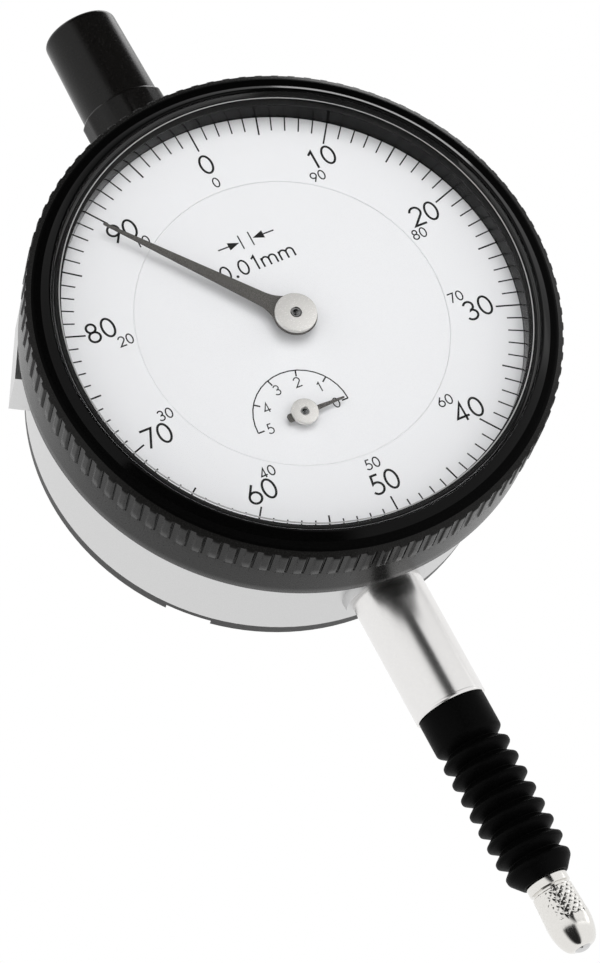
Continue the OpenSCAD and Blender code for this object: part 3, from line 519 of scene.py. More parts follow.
def grip_angles():
    """Angles round the grip, close together at the sides of the ribs."""
    pitch = 2 * math.pi / GRIP_COUNT
    half = GRIP_GAP / 2
    slot = [half - GRIP_SOFT - SLOT_W * share for share in (1, 0.75, 0.5, 0.25)]
    wall = [half + GRIP_SOFT * share for share in (-1, -0.5, 0, 0.5, 1)]
    sides = slot + wall + [(half + GRIP_SOFT + BEZEL_R * pitch / 2) / 2]
    aside = [-s for s in sides[::-1]] + [0] + sides
    middle = [s / BEZEL_R for s in aside] + [pitch / 2]
    return [GRIP_TURN + k * pitch + turn for k in range(GRIP_COUNT) for turn in middle]


def between(first, second, share):
    """A point on the line from one point to another."""
    return tuple(a + (b - a) * share for a, b in zip(first, second))


EDGE_SHARES = (0.08, GRIP_HEIGHT / (BEZEL_R - BAND_OUT[0]), 0.4, 0.7)
EDGE_SPLIT = between(GRIP_FRONT, BAND_OUT, EDGE_SHARES[-1])


def grip_outline():
    """The grip's outline, from its rear edge over the ribs to the front edge, and back through its bore."""
    rear = [
        (REAR_R - REAR_SOFT, SKIRT_H),
        (REAR_R - REAR_SOFT * 0.3, SKIRT_H + REAR_SOFT * 0.3),
        (REAR_R, SKIRT_H + REAR_SOFT),
    ]
    skirt = [between(rear[-1], (SKIRT_R, GRIP_BACK - SLOT_W), share) for share in (0.25, 0.5, 0.75, 1)]
    skirt += [(SKIRT_R + 0.001, GRIP_BACK - SLOT_W / 2), (SKIRT_R, GRIP_BACK)]
    ribs = [(SKIRT_R + 0.05, GRIP_BACK + 0.01), (BEZEL_R - 0.04, GRIP_BACK + 0.05)]
    ribs += [(BEZEL_R, out) for out in (GRIP_BACK + 0.14, 0, 1, 2)]
    ribs += [(BEZEL_R, GRIP_FRONT[1] - 0.12), (BEZEL_R - 0.02, GRIP_FRONT[1] - 0.02)]
    edge = [between(GRIP_FRONT, BAND_OUT, share) for share in EDGE_SHARES]
    inside = [
        (EDGE_SPLIT[0], 0),
        (RECESS_R, 0),
        (RECESS_R, RECESS_H),
        (BORE_R, RECESS_H),
        (BORE_R, SKIRT_H),
    ]
    return rear + skirt + ribs + edge + inside


def front_ring(name, outline, material):
    """A plain turned ring of the bezel's front."""
    points, faces = turned(outline, round_dial, FINE_TURN)
    ring = piece(name, points, faces, material)
    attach(ring, "bezel")


points, faces = turned(grip_outline(), round_dial, grip_angles(), gripped)
grip = piece("bezel_grip", points, faces, GRIP_PLASTIC)
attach(grip, "bezel")
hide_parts("bezel")

band_outline = softened(
    [
        (BAND_IN[0], SEAM, 0),
        (EDGE_SPLIT[0], SEAM, 0),
        (EDGE_SPLIT[0], EDGE_SPLIT[1], 0),
        (BAND_OUT[0], BAND_OUT[1], 0.15),
        (BAND_IN[0], BAND_IN[1], 0),
    ]
)
front_ring("bezel_band", band_outline, BAND_PLASTIC)

lip_outline = softened(
    [
        (RING_OUT[0], WELL_H, 0),
        (BAND_IN[0], WELL_H, 0),
        (BAND_IN[0], BAND_IN[1], 0),
        (CREST_OUT, LIP_H, 0.1),
        (CREST_IN, LIP_H, 0.04),
        (RING_OUT[0], RING_OUT[1] - SEAM, 0),
    ]
)
front_ring("bezel_lip", lip_outline, LIP_PLASTIC)

# Polished ring round the crystal
ring_outline = softened(
    [
        (RING_IN[0], WELL_H, 0),
        (RING_OUT[0], WELL_H, 0),
        (RING_OUT[0], RING_OUT[1], 0.03),
        (RING_IN[0], RING_IN[1], 0.02),
    ]
)
front_ring("bezel_ring", ring_outline, RING_PLASTIC)

# Wall round the dial, with a dull black foot: painted shade, a dark line where the wall meets the dial
well_outline = softened(
    [
        (WINDOW_R, FOOT_H, 0),
        (BAND_IN[0] - SEAM, FOOT_H, 0),
        (BAND_IN[0] - SEAM, WELL_H - SEAM, 0),
        (WINDOW_R, WELL_H - SEAM, 0.08),
    ]
)
front_ring("bezel_well", well_outline, WELL_PLASTIC)
# Painted shade: a thin ring of dull black plastic at the wall's foot stands in for the dark line of shade
# at the dial's edge
shade_foot_outline = [
    (WINDOW_R, SEAM),
    (BAND_IN[0] - SEAM, SEAM),
    (BAND_IN[0] - SEAM, FOOT_H),
    (WINDOW_R, FOOT_H),
]
front_ring("bezel_well_shade_foot", shade_foot_outline, BAND_PLASTIC)

# Seal that the crystal sits in
seat_outline = [
    (WINDOW_R, WELL_H),
    (RING_IN[0], WELL_H),
    (RING_IN[0], RING_IN[1] + 0.04),
    (SEAT_R, RING_IN[1] + 0.09),
    (SEAT_R, SEAT_FLOOR),
    (WINDOW_R, SEAT_FLOOR),
]
points, faces = turned(seat_outline, round_dial, FINE_TURN)
crystal_seat = piece("crystal_seat", points, faces, SEAT_RUBBER)
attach(crystal_seat, "bezel")
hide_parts("crystal_gasket")

# Ground edge of the crystal, where its flat front meets its bevel

CRYSTAL_H = front(crystal_low.y)
GROUND_R = SEAT_R - 0.31
GROUND_W = 0.06
ground_outline = [
    (GROUND_R - GROUND_W, CRYSTAL_H - 0.03),
    (GROUND_R + GROUND_W, CRYSTAL_H - 0.08),
    (GROUND_R + GROUND_W, CRYSTAL_H - 0.04),
    (GROUND_R, CRYSTAL_H + 0.02),
    (GROUND_R - GROUND_W, CRYSTAL_H + 0.01),
]
points, faces = turned(ground_outline, round_dial, FINE_TURN)
ground_edge = piece("crystal_ground_edge", points, faces, GROUND_EDGE)
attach(ground_edge, "bezel")

# Hands and their hubs

MAIN_ANGLE = 321.5
HAND_LEN = 22.2
HAND_ROOT = 1.87
HAND_TIP = 0.23
HUB_R = (hub_high.x - hub_low.x) / 2
PLATE_R = HUB_R + 0.1
PIN_HOLE_R = 0.52
# The blade leaves its round plate at an angle, and its fillet bends at one place and ends at another
HAND_JOIN = math.radians(52)
FILLET_BEND = 2.3
FILLET_END = 3.9


def half_width(along):
    """Half the long hand's width at a distance from its middle."""
    return (HAND_ROOT + (HAND_TIP - HAND_ROOT) * along / HAND_LEN) / 2


def hand_outline():
    """The long hand's outline, pointing along +x, with fillets where the blade meets its round plate."""
    root = Vector((PLATE_R * math.cos(HAND_JOIN), PLATE_R * math.sin(HAND_JOIN)))
    corner = Vector((FILLET_BEND, half_width(FILLET_BEND) + 0.05))
    blade = Vector((FILLET_END, half_width(FILLET_END)))
    side = bent(root, corner, blade, 10)
    side += [(HAND_LEN - 0.1, HAND_TIP / 2), (HAND_LEN, HAND_TIP / 4)]
    lower = [(x, -y) for x, y in side]
    turns = 40
    rest = 2 * (math.pi - HAND_JOIN)
    back = []
    for k in range(1, turns):
        turn = HAND_JOIN + rest * k / turns
        back.append((PLATE_R * math.cos(turn), PLATE_R * math.sin(turn)))
    return lower + side[::-1] + back


def along_hand(x, y, out):
    """A point given along and left of the long hand."""
    turn = math.radians(90 - MAIN_ANGLE)
    return on_dial(x * math.cos(turn) - y * math.sin(turn), x * math.sin(turn) + y * math.cos(turn), out)


points, faces = plate(hand_outline(), front(hand_high.y), front(hand_low.y), 0.04, along_hand)
hand = piece("long_hand", points, faces, HAND_METAL)
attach(hand, "pointer")
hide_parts("main_hand")

hub_top = front(hub_low.y)
hub_foot = front(hand_low.y)
hub_outline = softened(
    [
        (PIN_HOLE_R, hub_foot, 0),
        (HUB_R, hub_foot, 0),
        (HUB_R, hub_top, 0.13),
        (PIN_HOLE_R + 0.12, hub_top, 0),
        (PIN_HOLE_R, hub_top - 0.12, 0),
    ]
)
points, faces = turned(hub_outline, round_dial, even(96))
hub = piece("long_hand_hub", points, faces, HUB_METAL)
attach(hub, "pointer")
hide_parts("main_hand_hub")


def pin_end(name, place, radius, top, body):
    """The domed end of an arbor in its hub, with a dark ring round it."""
    outline = [
        (0, top + 0.02),
        (radius * 0.3, top + 0.01),
        (radius * 0.55, top - 0.04),
        (radius * 0.62, top - 0.1),
        (radius * 0.8, top - 0.1),
        (radius, top - 0.02),
        (radius, top - 0.14),
        (0, top - 0.14),
    ]
    points, faces = turned(outline, place, even(40))
    made = piece(name, points, faces, PIN_STEEL)
    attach(made, body)


pin_end("long_hand_pin", round_dial, PIN_HOLE_R + 0.08, hub_top, "pointer")

SMALL_HUB_R = (small_hub_high.x - small_hub_low.x) / 2
SMALL_LEN = small_high.x - SMALL_MID[0]
SMALL_TAIL = SMALL_MID[0] - small_low.x
TAIL_HALF = 0.45
TAIL_SOFT = 0.15
SMALL_HOLE_R = PIN_HOLE_R - 0.1


def small_hand_outline():
    """The short hand's outline, pointing along +x, with a blunt round tail."""
    upper = [
        (SMALL_LEN, 0.06),
        (SMALL_LEN - 0.1, 0.1),
        (1.5, 0.25),
        (0.9, 0.5),
        (0, TAIL_HALF + 0.1),
        (-SMALL_TAIL + TAIL_SOFT, TAIL_HALF),
        (-SMALL_TAIL, TAIL_HALF - TAIL_SOFT),
    ]
    return upper + [(x, -y) for x, y in upper[::-1]]


def by_small(x, y, out):
    """A point right of and above the middle of the short hand."""
    return on_dial(SMALL_MID[0] + x, SMALL_MID[1] + y, out)


points, faces = plate(small_hand_outline(), front(small_high.y), front(small_low.y), 0.03, by_small)
small_hand = piece("short_hand", points, faces, HAND_METAL)
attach(small_hand, "rack_wheel")
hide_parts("small_hand")

small_top = front(small_hub_low.y)
small_foot = front(small_low.y)
small_hub_outline = softened(
    [
        (SMALL_HOLE_R, small_foot, 0),
        (SMALL_HUB_R, small_foot, 0),
        (SMALL_HUB_R, small_top, 0.1),
        (PIN_HOLE_R, small_top, 0),
        (SMALL_HOLE_R, small_top - 0.1, 0),
    ]
)
points, faces = turned(small_hub_outline, round_small_dial, even(72))
small_hub = piece("short_hand_hub", points, faces, HUB_METAL)
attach(small_hub, "rack_wheel")
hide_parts("small_hand_hub")
pin_end("short_hand_pin", round_small_dial, PIN_HOLE_R, small_top, "rack_wheel")

# Printing on the dial: strokes of ink with a real edge

INK_T = 0.012


def bow(x, y, across, up, start, end):
    """Points on an oval from one angle to another, in degrees anticlockwise from the right."""
    steps = max(4, round(abs(end - start) / 10))
    turns = [math.radians(start + (end - start) * k / steps) for k in range(steps + 1)]
    return [(x + across * math.cos(turn), y + up * math.sin(turn)) for turn in turns]


def oval(x, y, across, up):
    return bow(x, y, across, up, 90, 450)


# Strokes of each sign in a box one unit high, its middle at x = 0
SIX = [[(0.09, 1)] + bow(0, 0.3, 0.3, 0.3, 147, 147 + 360)]
SIGNS = {
    "0": [oval(0, 0.5, 0.3, 0.5)],
    "1": [[(-0.16, 0.83), (0.05, 1), (0.05, 0)]],
    "2": [bow(0, 0.71, 0.29, 0.29, 165, -35) + [(-0.3, 0), (0.32, 0)]],
    "3": [bow(-0.02, 0.755, 0.245, 0.245, 155, -80) + bow(-0.02, 0.265, 0.29, 0.265, 80, -155)],
    "4": [[(0.13, 0), (0.13, 1), (-0.32, 0.24), (0.33, 0.24)]],
    "5": [[(0.24, 1), (-0.1, 1), (-0.17, 0.58)] + bow(-0.03, 0.31, 0.31, 0.31, 110, -150)],
    "6": SIX,
    "7": [[(-0.3, 1), (0.3, 1), (-0.14, 0)]],
    "8": [oval(0, 0.765, 0.235, 0.235), oval(0, 0.27, 0.285, 0.27)],
    "9": [[(-x, 1 - y) for x, y in SIX[0]]],
    ".": [oval(0, 0.03, 0.035, 0.035)],
    "m": [
        [(-0.48, 0), (-0.48, 0.66)],
        [(-0.48, 0.4)] + bow(-0.24, 0.42, 0.24, 0.24, 180, 0) + [(0, 0)],
        [(0, 0.4)] + bow(0.24, 0.42, 0.24, 0.24, 180, 0) + [(0.48, 0)],
    ],
}


def stroke(path, width):
    """Left and right edge points of a stroke along a path, with mitred joins."""
    path = [Vector(p) for p in path]
    closed = (path[0] - path[-1]).length < 1e-6
    if closed:
        path = path[:-1]
    edges = []
    for i, here in enumerate(path):
        back = here - path[i - 1]
        ahead = path[(i + 1) % len(path)] - here
        if not closed and i == 0:
            back = ahead
        if not closed and i == len(path) - 1:
            ahead = back
        aside = mitre(back, ahead, 0.35) * width / 2
        edges.append((here + aside, here - aside))
    return edges, closed


class Ink:
    """Gathers strokes of ink into one thin mesh that lies on the dial."""

    def __init__(self, base):
        self.base = base
        self.points = []
        self.faces = []

    def add(self, path, width):
        """A stroke along a path of points on the dial."""
        edges, closed = stroke(path, width)
        first = len(self.points)
        top = self.base + INK_T
        for left, right in edges:
            for edge, out in ((left, top), (right, top), (right, self.base), (left, self.base)):
                self.points.append(on_dial(edge.x, edge.y, out))
        rings = [[first + 4 * i + k for k in range(4)] for i in range(len(edges))]
        pairs = list(zip(rings, rings[1:]))
        if closed:
            pairs.append((rings[-1], rings[0]))
        else:
            self.faces.append(tuple(rings[0]))
            self.faces.append(tuple(rings[-1]))
        for one, two in pairs:
            self.faces += strip(one, two)

    def write(self, text, middle, height, width, pitch):
        """A row of signs about a middle. height is over the ink's outer edges."""
        unit = height - width
        for i, sign in enumerate(text):
            x = middle[0] + (i - (len(text) - 1) / 2) * pitch
            foot = middle[1] - unit / 2
            for path in SIGNS[sign]:
                self.add([(x + unit * px, foot + unit * py) for px, py in path], width)

    def fill(self, outline):
        """A filled shape, such as an arrow head."""
        count = len(outline)
        first = len(self.points)
        for out in (self.base, self.base + INK_T):
            self.points += [on_dial(x, y, out) for x, y in outline]
        low = [first + k for k in range(count)]
        high = [first + count + k for k in range(count)]
        self.faces += strip(low, high)
        self.faces.append(tuple(low))
        self.faces.append(tuple(high))

    def piece(self, name):
        return piece(name, self.points, self.faces, INK)


def at(radius, degrees):
    """A point on the dial at a radius and an angle clockwise from the top."""
    turn = math.radians(degrees)
    return radius * math.sin(turn), radius * math.cos(turn)


DIVISIONS = 100
TICK_OUT = 24.85
TICK_LONG = (21.97, 0.18)
TICK_MEDIUM = (22.46, 0.18)
TICK_SHORT = (22.97, 0.15)
BIG_NUMBER = {"height": 2.38, "width": 0.25, "pitch": 1.74}
LITTLE_NUMBER = {"height": 1.23, "width": 0.145, "pitch": 0.9}
BIG_R = 20.25
LITTLE_R = 17.9
# Beside some marks the little number is moved round the dial, in degrees
LITTLE_MOVED = {20: 4.7, 30: -4.7, 70: 3.4, 80: -2.6}
# The big numbers stand a little off their marks too: degrees round the dial and mm outwards
BIG_MOVED = {
    20: (0.3, -0.25),
    30: (0, -0.24),
    40: (-1, 0.25),
    50: (-0.5, 0),
    60: (0.7, 0),
    70: (-0.4, 0),
    80: (1.4, 0.1),
}

scale_ink = Ink(0.0)
for mark in range(DIVISIONS):
    degrees = 360 * mark / DIVISIONS
    inner, width = TICK_LONG if mark % 10 == 0 else TICK_MEDIUM if mark % 5 == 0 else TICK_SHORT
    scale_ink.add([at(inner, degrees), at(TICK_OUT, degrees)], width)
for mark in range(0, DIVISIONS, 10):
    degrees = 360 * mark / DIVISIONS
    round_by, out_by = BIG_MOVED.get(mark, (0, 0))
    scale_ink.write(str(mark), at(BIG_R + out_by, degrees + round_by), **BIG_NUMBER)
    reverse = (DIVISIONS - mark) % DIVISIONS
    scale_ink.write(str(reverse), at(LITTLE_R, degrees + LITTLE_MOVED.get(mark, 0)), **LITTLE_NUMBER)
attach(scale_ink.piece("scale_printing"), "bezel")

inner_ink = Ink(front(inner_low.y))

# Small scale of turns, from 0 at the right to 5 at the left
SMALL_ARC = {"across": 5.28, "up": 5.28, "start": 0, "end": 180}
SMALL_ARC_W = 0.13
SMALL_TICK = (4.56, 5.28)
SMALL_TICK_W = 0.16
SMALL_NUMBER = {"height": 1.2, "width": 0.125, "pitch": 0}
SMALL_NUMBER_R = 3.88
TURNS = 5


def at_small(radius, degrees):
    """A point round the middle of the short hand, at an angle clockwise from the top."""
    x, y = at(radius, degrees)
    return SMALL_MID[0] + x, SMALL_MID[1] + y


inner_ink.add(bow(*SMALL_MID, **SMALL_ARC), SMALL_ARC_W)
for count in range(TURNS + 1):
    degrees = 90 - 180 * count / TURNS
    inner_ink.add([at_small(radius, degrees) for radius in SMALL_TICK], SMALL_TICK_W)
    inner_ink.write(str(count), at_small(SMALL_NUMBER_R, degrees), **SMALL_NUMBER)

# Size of one division, with its two arrows
UNIT_NUMBER = {"height": 1.86, "width": 0.2, "pitch": 0}
UNIT_MID = 7.7
UNIT_SIGNS = (("0", -4.05), (".", -2.98), ("0", -1.92), ("1", -0.48), ("m", 1.05), ("m", 3.12))
for sign, x in UNIT_SIGNS:
    inner_ink.write(sign, (x, UNIT_MID), **UNIT_NUMBER)
# Each arrow points at a bar. Its places are counted outwards from the middle between the bars
ARROW_MID = -0.22
ARROW_UP = 10.48
BAR_OUT = 0.6
BAR_HALF = 0.85
BAR_W = 0.14
TIP_OUT = BAR_OUT + 0.2
HEAD_OUT = BAR_OUT + 1.46
HEAD_HALF = 0.46
TAIL_OUT = BAR_OUT + 2.7
TAIL_W = 0.15
for side in (-1, 1):
    bar = ARROW_MID + side * BAR_OUT
    tip = ARROW_MID + side * TIP_OUT
    head = ARROW_MID + side * HEAD_OUT
    tail = ARROW_MID + side * TAIL_OUT
    inner_ink.add([(bar, ARROW_UP - BAR_HALF), (bar, ARROW_UP + BAR_HALF)], BAR_W)
    inner_ink.add([(head, ARROW_UP), (tail, ARROW_UP)], TAIL_W)
    inner_ink.fill([(tip, ARROW_UP), (head, ARROW_UP + HEAD_HALF), (head, ARROW_UP - HEAD_HALF)])
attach(inner_ink.piece("inner_printing"), "case")

# Broken edge at the end of the stem

STEM_R = (stem_high.x - stem_low.x) / 2
STEM_END = boot_high.z + 0.05
END_LEN = 0.38
END_BORE = STEM_R - 0.8
END_OUT_R = STEM_R + 0.012
END_CHAMFER = 0.12
END_FADE = 0.05
stem_end_outline = softened(
    [
        (END_BORE, STEM_END, 0),
        (STEM_R - END_CHAMFER, STEM_END, 0.03),
        (END_OUT_R, STEM_END + END_CHAMFER, 0.03),
        (END_OUT_R, STEM_END + END_LEN, 0.03),
        (STEM_R - 0.03, STEM_END + END_LEN + END_FADE, 0),
        (END_BORE, STEM_END + END_LEN + END_FADE, 0),
    ]
)
points, faces = turned(stem_end_outline, round_spindle, even(128))
stem_end = piece("stem_end", points, faces, STEM_STEEL)
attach(stem_end, "case")

# Rubber boot

BOOT_TOP = boot_high.z
BOOT_LOW = boot_low.z
CUFF_R = 3.77
CUFF_LEN = 3.9
FOLDS = 7
FOLD_PITCH = 1.91
FOLD_FLAT = 0.22
FOLD_TOP = BOOT_TOP - CUFF_LEN - 0.75
FOLD_LOW = FOLD_TOP - FOLDS * FOLD_PITCH
FOLD_R = 3.83
FOLD_IN_R = 2.85
BOOT_WALL = 0.34
SPIGOT_R = 3.05
BOOT_BORE_R = 2.03
BOOT_END_R = 2.58
END_FOLD_R = FOLD_R - 0.15
END_FOLD_LEN = 0.6


def boot_outline():
    """The boot's outline: upper cuff, folds with straight flanks, and a tapering end cuff."""
    flank = FOLD_PITCH * (1 - FOLD_FLAT) / 2
    folds = []
    for fold in range(FOLDS):
        top = FOLD_TOP - fold * FOLD_PITCH
        folds.append((FOLD_IN_R, top, 0.09))
        folds.append((FOLD_R, top - flank, 0.15))
        folds.append((FOLD_R, top - FOLD_PITCH + flank, 0.15))
    end_fold = [
        (FOLD_IN_R, FOLD_LOW, 0.12),
        (END_FOLD_R, FOLD_LOW - flank, 0.2),
        (END_FOLD_R - 0.06, FOLD_LOW - flank - END_FOLD_LEN, 0.25),
    ]
    cuff = [
        (CUFF_R, BOOT_TOP, 0.12),
        (CUFF_R, BOOT_TOP - CUFF_LEN, 0.25),
    ]
    tail = [(BOOT_END_R, BOOT_LOW, 0.08)]
    inside = [(BOOT_BORE_R, BOOT_LOW, 0), (BOOT_BORE_R, FOLD_LOW - flank, 0)]
    inside += [(radius - BOOT_WALL, height, rounding) for radius, height, rounding in folds[::-1]]
    inside += [(SPIGOT_R, BOOT_TOP - CUFF_LEN + BOOT_WALL, 0), (SPIGOT_R, BOOT_TOP, 0)]
    return softened(cuff + folds + end_fold + tail + inside, 5)


points, faces = turned(boot_outline(), round_spindle, even(128))
boot = piece("ribbed_boot", points, faces, BOOT_RUBBER, BOOT_SHARP)
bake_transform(boot)
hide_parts("rubber_boot")

# Contact point with its knurl

CONTACT_TOP = FOLD_LOW - 2.65
SHOULDER_LOW = CONTACT_TOP - 1.0
BARREL_HIGH = SHOULDER_LOW - 0.3
CONTACT_LOW = tip_low.z
BARREL_LOW = CONTACT_LOW + 3.5
NOSE_LOW = contact_low.z
BARREL_R = 2.4
BARREL_TOP_R = 2.23
SHOULDER_R = 2.28
NECK_R = 1.9
NOSE_R = 1.05
KNURL_RIBS = 18
KNURL_DEPTH = 0.08
KNURL_TURN = 1.2
KNURL_MARGIN = 0.05
# How flat the diamonds of the knurl are, and the least share of the depth that a groove has
KNURL_FLAT = 1.35
KNURL_LEAST = 0.55
BARREL_ROWS = 44


def wave(value):
    """A zigzag between 0 and 1."""
    return abs(value % 1 - 0.5) * 2


def worn(first, second):
    """A share between 0 and 1 that differs from one diamond of the knurl to the next."""
    return (math.sin(first * 12.9 + second * 78.2) * 43758.5) % 1


def knurled(radius, angle, height):
    """The radius of the barrel, cut by two crossing sets of slanting grooves of uneven depth."""
    on_barrel = BARREL_LOW + KNURL_MARGIN < height < BARREL_HIGH - KNURL_MARGIN
    if not on_barrel or radius < NECK_R:
        return radius
    round_count = KNURL_RIBS * angle / (2 * math.pi)
    climb = KNURL_TURN * (height - BARREL_LOW)
    one = round_count + climb
    two = round_count - climb
    peak = min(wave(one), wave(two))
    wear = worn(math.floor(one % KNURL_RIBS), math.floor(two % KNURL_RIBS))
    depth = KNURL_DEPTH * (KNURL_LEAST + (1 - KNURL_LEAST) * wear)
    return radius - depth * (1 - min(1, peak * KNURL_FLAT))


def contact_outline():
    """The contact point's outline, from the stud's shoulder to the nose."""
    collar = softened(
        [
            (0, CONTACT_TOP, 0),
            (SHOULDER_R, CONTACT_TOP, 0.12),
            (SHOULDER_R, SHOULDER_LOW, 0.1),
            (NECK_R, SHOULDER_LOW, 0),
            (NECK_R, BARREL_HIGH, 0),
            (BARREL_TOP_R - 0.12, BARREL_HIGH, 0),
            (BARREL_TOP_R, BARREL_HIGH - 0.1, 0),
        ]
    )
    top = (BARREL_TOP_R, BARREL_HIGH - 0.1)
    low = (BARREL_R, BARREL_LOW)
    barrel = [between(top, low, k / BARREL_ROWS) for k in range(BARREL_ROWS + 1)]
    nose = []
    bends = 14
    for k in range(1, bends + 1):
        turn = math.pi / 2 * k / bends
        radius = NOSE_R + (BARREL_R - NOSE_R) * math.cos(turn)
        nose.append((radius, BARREL_LOW - (BARREL_LOW - NOSE_LOW) * math.sin(turn)))
    return collar + barrel + nose + [(0, NOSE_LOW)]


points, faces = turned(contact_outline(), round_spindle, even(KNURL_RIBS * 12), knurled)
contact = piece("knurled_contact", points, faces, CONTACT_STEEL, CONTACT_SHARP)
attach(contact, "spindle")
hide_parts("contact_point")

# Collar under the cap, with flats and softly broken edges

FLATS = 12
FLATS_TURN = math.radians(21.6)
COLLAR_FOOT = collar_low.z
COLLAR_TOP = collar_high.z
COLLAR_OUT_R = 4.95
COLLAR_BORE = 4.03
FLAT_EDGE = math.radians(2)
COLLAR_CHAMFER = 0.35
COLLAR_BREAK = 0.1


def flatted(radius, angle, height):
    """The radius of the collar: flats all round, with the edges between them broken."""
    if radius < COLLAR_BORE + SEAM:
        return radius
    pitch = 2 * math.pi / FLATS
    away = abs((angle - FLATS_TURN + pitch / 2) % pitch - pitch / 2)
    flat = COLLAR_OUT_R * math.cos(pitch / 2)
    return min(radius, flat / math.cos(pitch / 2 - max(away, FLAT_EDGE)))


def flat_angles():
    """Angles round the collar, close together at the edges between its flats."""
    pitch = 2 * math.pi / FLATS
    share = [-0.5, -0.35, -0.2]
    turns = [pitch * s for s in share] + [-FLAT_EDGE, -FLAT_EDGE / 2, 0, FLAT_EDGE / 2, FLAT_EDGE]
    turns += [-pitch * s for s in share[:0:-1]]
    return [FLATS_TURN + k * pitch + turn for k in range(FLATS) for turn in turns]


flat_collar_outline = softened(
    [
        (COLLAR_BORE, COLLAR_FOOT, 0),
        (COLLAR_OUT_R - COLLAR_BREAK, COLLAR_FOOT, 0),
        (COLLAR_OUT_R, COLLAR_FOOT + COLLAR_BREAK, 0),
        (COLLAR_OUT_R, COLLAR_TOP - COLLAR_CHAMFER, 0.1),
        (COLLAR_OUT_R - COLLAR_CHAMFER, COLLAR_TOP, 0.06),
        (COLLAR_BORE, COLLAR_TOP, 0),
    ]
)
points, faces = turned(flat_collar_outline, round_spindle, flat_angles(), flatted)
flat_collar = piece("flat_collar", points, faces, CAP_PLASTIC, COLLAR_SHARP)
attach(flat_collar, "case")
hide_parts("cap_collar")

# Floor of white paper. Reflections see a glow instead: an even white backdrop with a painted dark
# reflection towards where the camera stands

FLOOR_Z = -260
FLOOR_REACH = 3000
CAMERA_SIDE = (-0.545, -0.839, 0)
SHADE_OUTER = math.radians(42)
SHADE_INNER = math.radians(24)
WHITE_LIGHT = 1.0
DARK_LIGHT = 0.02


def nearness(tree, direction, aim):
    """The cosine of the angle between a direction and an aim."""
    towards = tree.nodes.new("ShaderNodeVectorMath")
    towards.operation = "DOT_PRODUCT"
    towards.inputs[1].default_value = aim
    link(tree, direction, towards.inputs[0])
    return towards.outputs["Value"]


def darkened(tree, cosine, outer, inner):
    """White light that falls softly to dark between two angles."""
    return spread(tree, cosine, math.cos(outer), math.cos(inner), WHITE_LIGHT, DARK_LIGHT, soft=True)


def floor_paper():
    """The floor's material: white paper to light and shadows, and to glossy rays a glow with a painted dark
    reflection towards the camera side.
    """
    material = finish("floor_white", grey(0.88), grey(0.91), (0.7, 0.8), scale=40)
    tree = material.node_tree
    heading = tree.nodes.new("ShaderNodeVectorMath")
    heading.operation = "NORMALIZE"
    link(tree, place_of(tree, (1, 1, 0)), heading.inputs[0])
    cosine = nearness(tree, heading.outputs["Vector"], CAMERA_SIDE)
    # Painted reflection: to glossy rays the floor glows white, falling to dark towards the camera side
    painted_glow = tree.nodes.new("ShaderNodeEmission")
    link(tree, darkened(tree, cosine, SHADE_OUTER, SHADE_INNER), painted_glow.inputs["Strength"])
    path = tree.nodes.new("ShaderNodeLightPath")
    mix = tree.nodes.new("ShaderNodeMixShader")
    link(tree, path.outputs["Is Glossy Ray"], mix.inputs["Fac"])
    link(tree, tree.nodes["Principled BSDF"].outputs["BSDF"], mix.inputs[1])
    link(tree, painted_glow.outputs["Emission"], mix.inputs[2])
    link(tree, mix.outputs["Shader"], tree.nodes["Material Output"].inputs["Surface"])
    return material


floor_mesh = bpy.data.meshes.new("floor")
floor_corners = [(-1, -1), (1, -1), (1, 1), (-1, 1)]
floor_points = [Vector((x * FLOOR_REACH, y * FLOOR_REACH, FLOOR_Z)) * MM for x, y in floor_corners]
floor_mesh.from_pydata(floor_points, [], [(0, 1, 2, 3)])
floor_mesh.materials.append(floor_paper())
floor = bpy.data.objects.new("floor", floor_mesh)
bpy.context.scene.collection.objects.link(floor)

# Lamps: a large card on the right, a soft key in front and a small lamp behind

DIAL_MID = (0, -14, 34)
CARD_AT = (386, -224, -32)
CARD_AIM = (116, 98, -32)
# Heights at which the card is full and at which it has faded out, at its top and at its foot
CARD_FADES = ((150, 236), (-20, -110))


def lamp(name, at_mm, aim_mm, width, height, watts, shine=True):
    """A soft box that faces a point. shine tells whether it shows in reflections."""
    light = bpy.data.lights.new(name, "AREA")
    light.shape = "RECTANGLE"
    light.size = width * MM
    light.size_y = height * MM
    light.energy = watts
    made = bpy.data.objects.new(name, light)
    made.location = Vector(at_mm) * MM
    made.rotation_euler = (Vector(aim_mm) - Vector(at_mm)).to_track_quat("-Z", "Y").to_euler()
    made.visible_glossy = shine
    made.visible_transmission = shine
    bpy.context.scene.collection.objects.link(made)
    return made


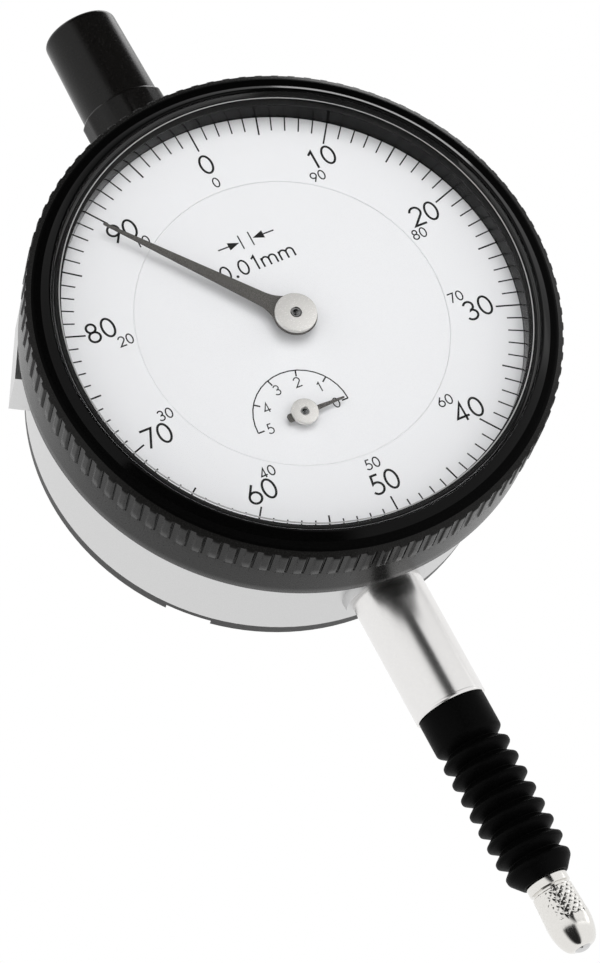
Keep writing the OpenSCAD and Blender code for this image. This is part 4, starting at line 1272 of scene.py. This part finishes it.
def fade_out(light, fades):
    """Make a lamp fade out softly at its top and its foot."""
    light.use_nodes = True
    tree = light.node_tree
    surface = tree.nodes.new("ShaderNodeNewGeometry")
    split = tree.nodes.new("ShaderNodeSeparateXYZ")
    link(tree, surface.outputs["Position"], split.inputs["Vector"])
    both = tree.nodes.new("ShaderNodeMath")
    both.operation = "MULTIPLY"
    for i, (full, gone) in enumerate(fades):
        strength = spread(tree, split.outputs["Z"], gone * MM, full * MM, soft=True)
        link(tree, strength, both.inputs[i])
    link(tree, both.outputs["Value"], tree.nodes["Emission"].inputs["Strength"])


card = lamp("right_card", CARD_AT, CARD_AIM, 696, 536, 1.15)
fade_out(card.data, CARD_FADES)
lamp("key_box", (120, -890, 300), DIAL_MID, 600, 600, 3.8, shine=False)
lamp("rim_box", (420, 170, 440), DIAL_MID, 260, 260, 0.57)

# The room is white, with a dark part in front on the upper right

DARK_MID = (0.45, -0.6, 0.66)
DARK_OUTER = math.radians(58)
DARK_INNER = math.radians(46)


def studio_room():
    """The world round the object."""
    world = bpy.data.worlds.new("studio")
    world.use_nodes = True
    tree = world.node_tree
    tree.nodes.clear()
    where = tree.nodes.new("ShaderNodeTexCoord")
    cosine = nearness(tree, where.outputs["Generated"], DARK_MID)
    room = tree.nodes.new("ShaderNodeBackground")
    room.inputs["Color"].default_value = (1, 1, 1, 1)
    link(tree, darkened(tree, cosine, DARK_OUTER, DARK_INNER), room.inputs["Strength"])
    result = tree.nodes.new("ShaderNodeOutputWorld")
    link(tree, room.outputs["Background"], result.inputs["Surface"])
    return world


bpy.context.scene.world = studio_room()

# Camera, at the photograph's angle

CAMERA_AT = Vector((-140.840, -371.268, -111.034))
CAMERA_AIM = Vector((-7.869, -14.1, 17.197))
CAMERA_ROLL = math.radians(28.716)
camera_data = bpy.data.cameras.new("camera")
camera_data.lens = 146.865
camera_data.sensor_width = 36
camera_data.clip_start = 0.01
camera = bpy.data.objects.new("camera", camera_data)
forward = (CAMERA_AIM - CAMERA_AT).normalized()
level = forward.cross(Vector((0, 0, 1))).normalized()
upright = level.cross(forward)
right = level * math.cos(CAMERA_ROLL) - upright * math.sin(CAMERA_ROLL)
facing = Matrix((right, right.cross(forward), -forward)).transposed()
camera.matrix_world = Matrix.Translation(CAMERA_AT * MM) @ facing.to_4x4()
bpy.context.scene.collection.objects.link(camera)
bpy.context.scene.camera = camera
bpy.context.scene.view_settings.view_transform = "Standard"
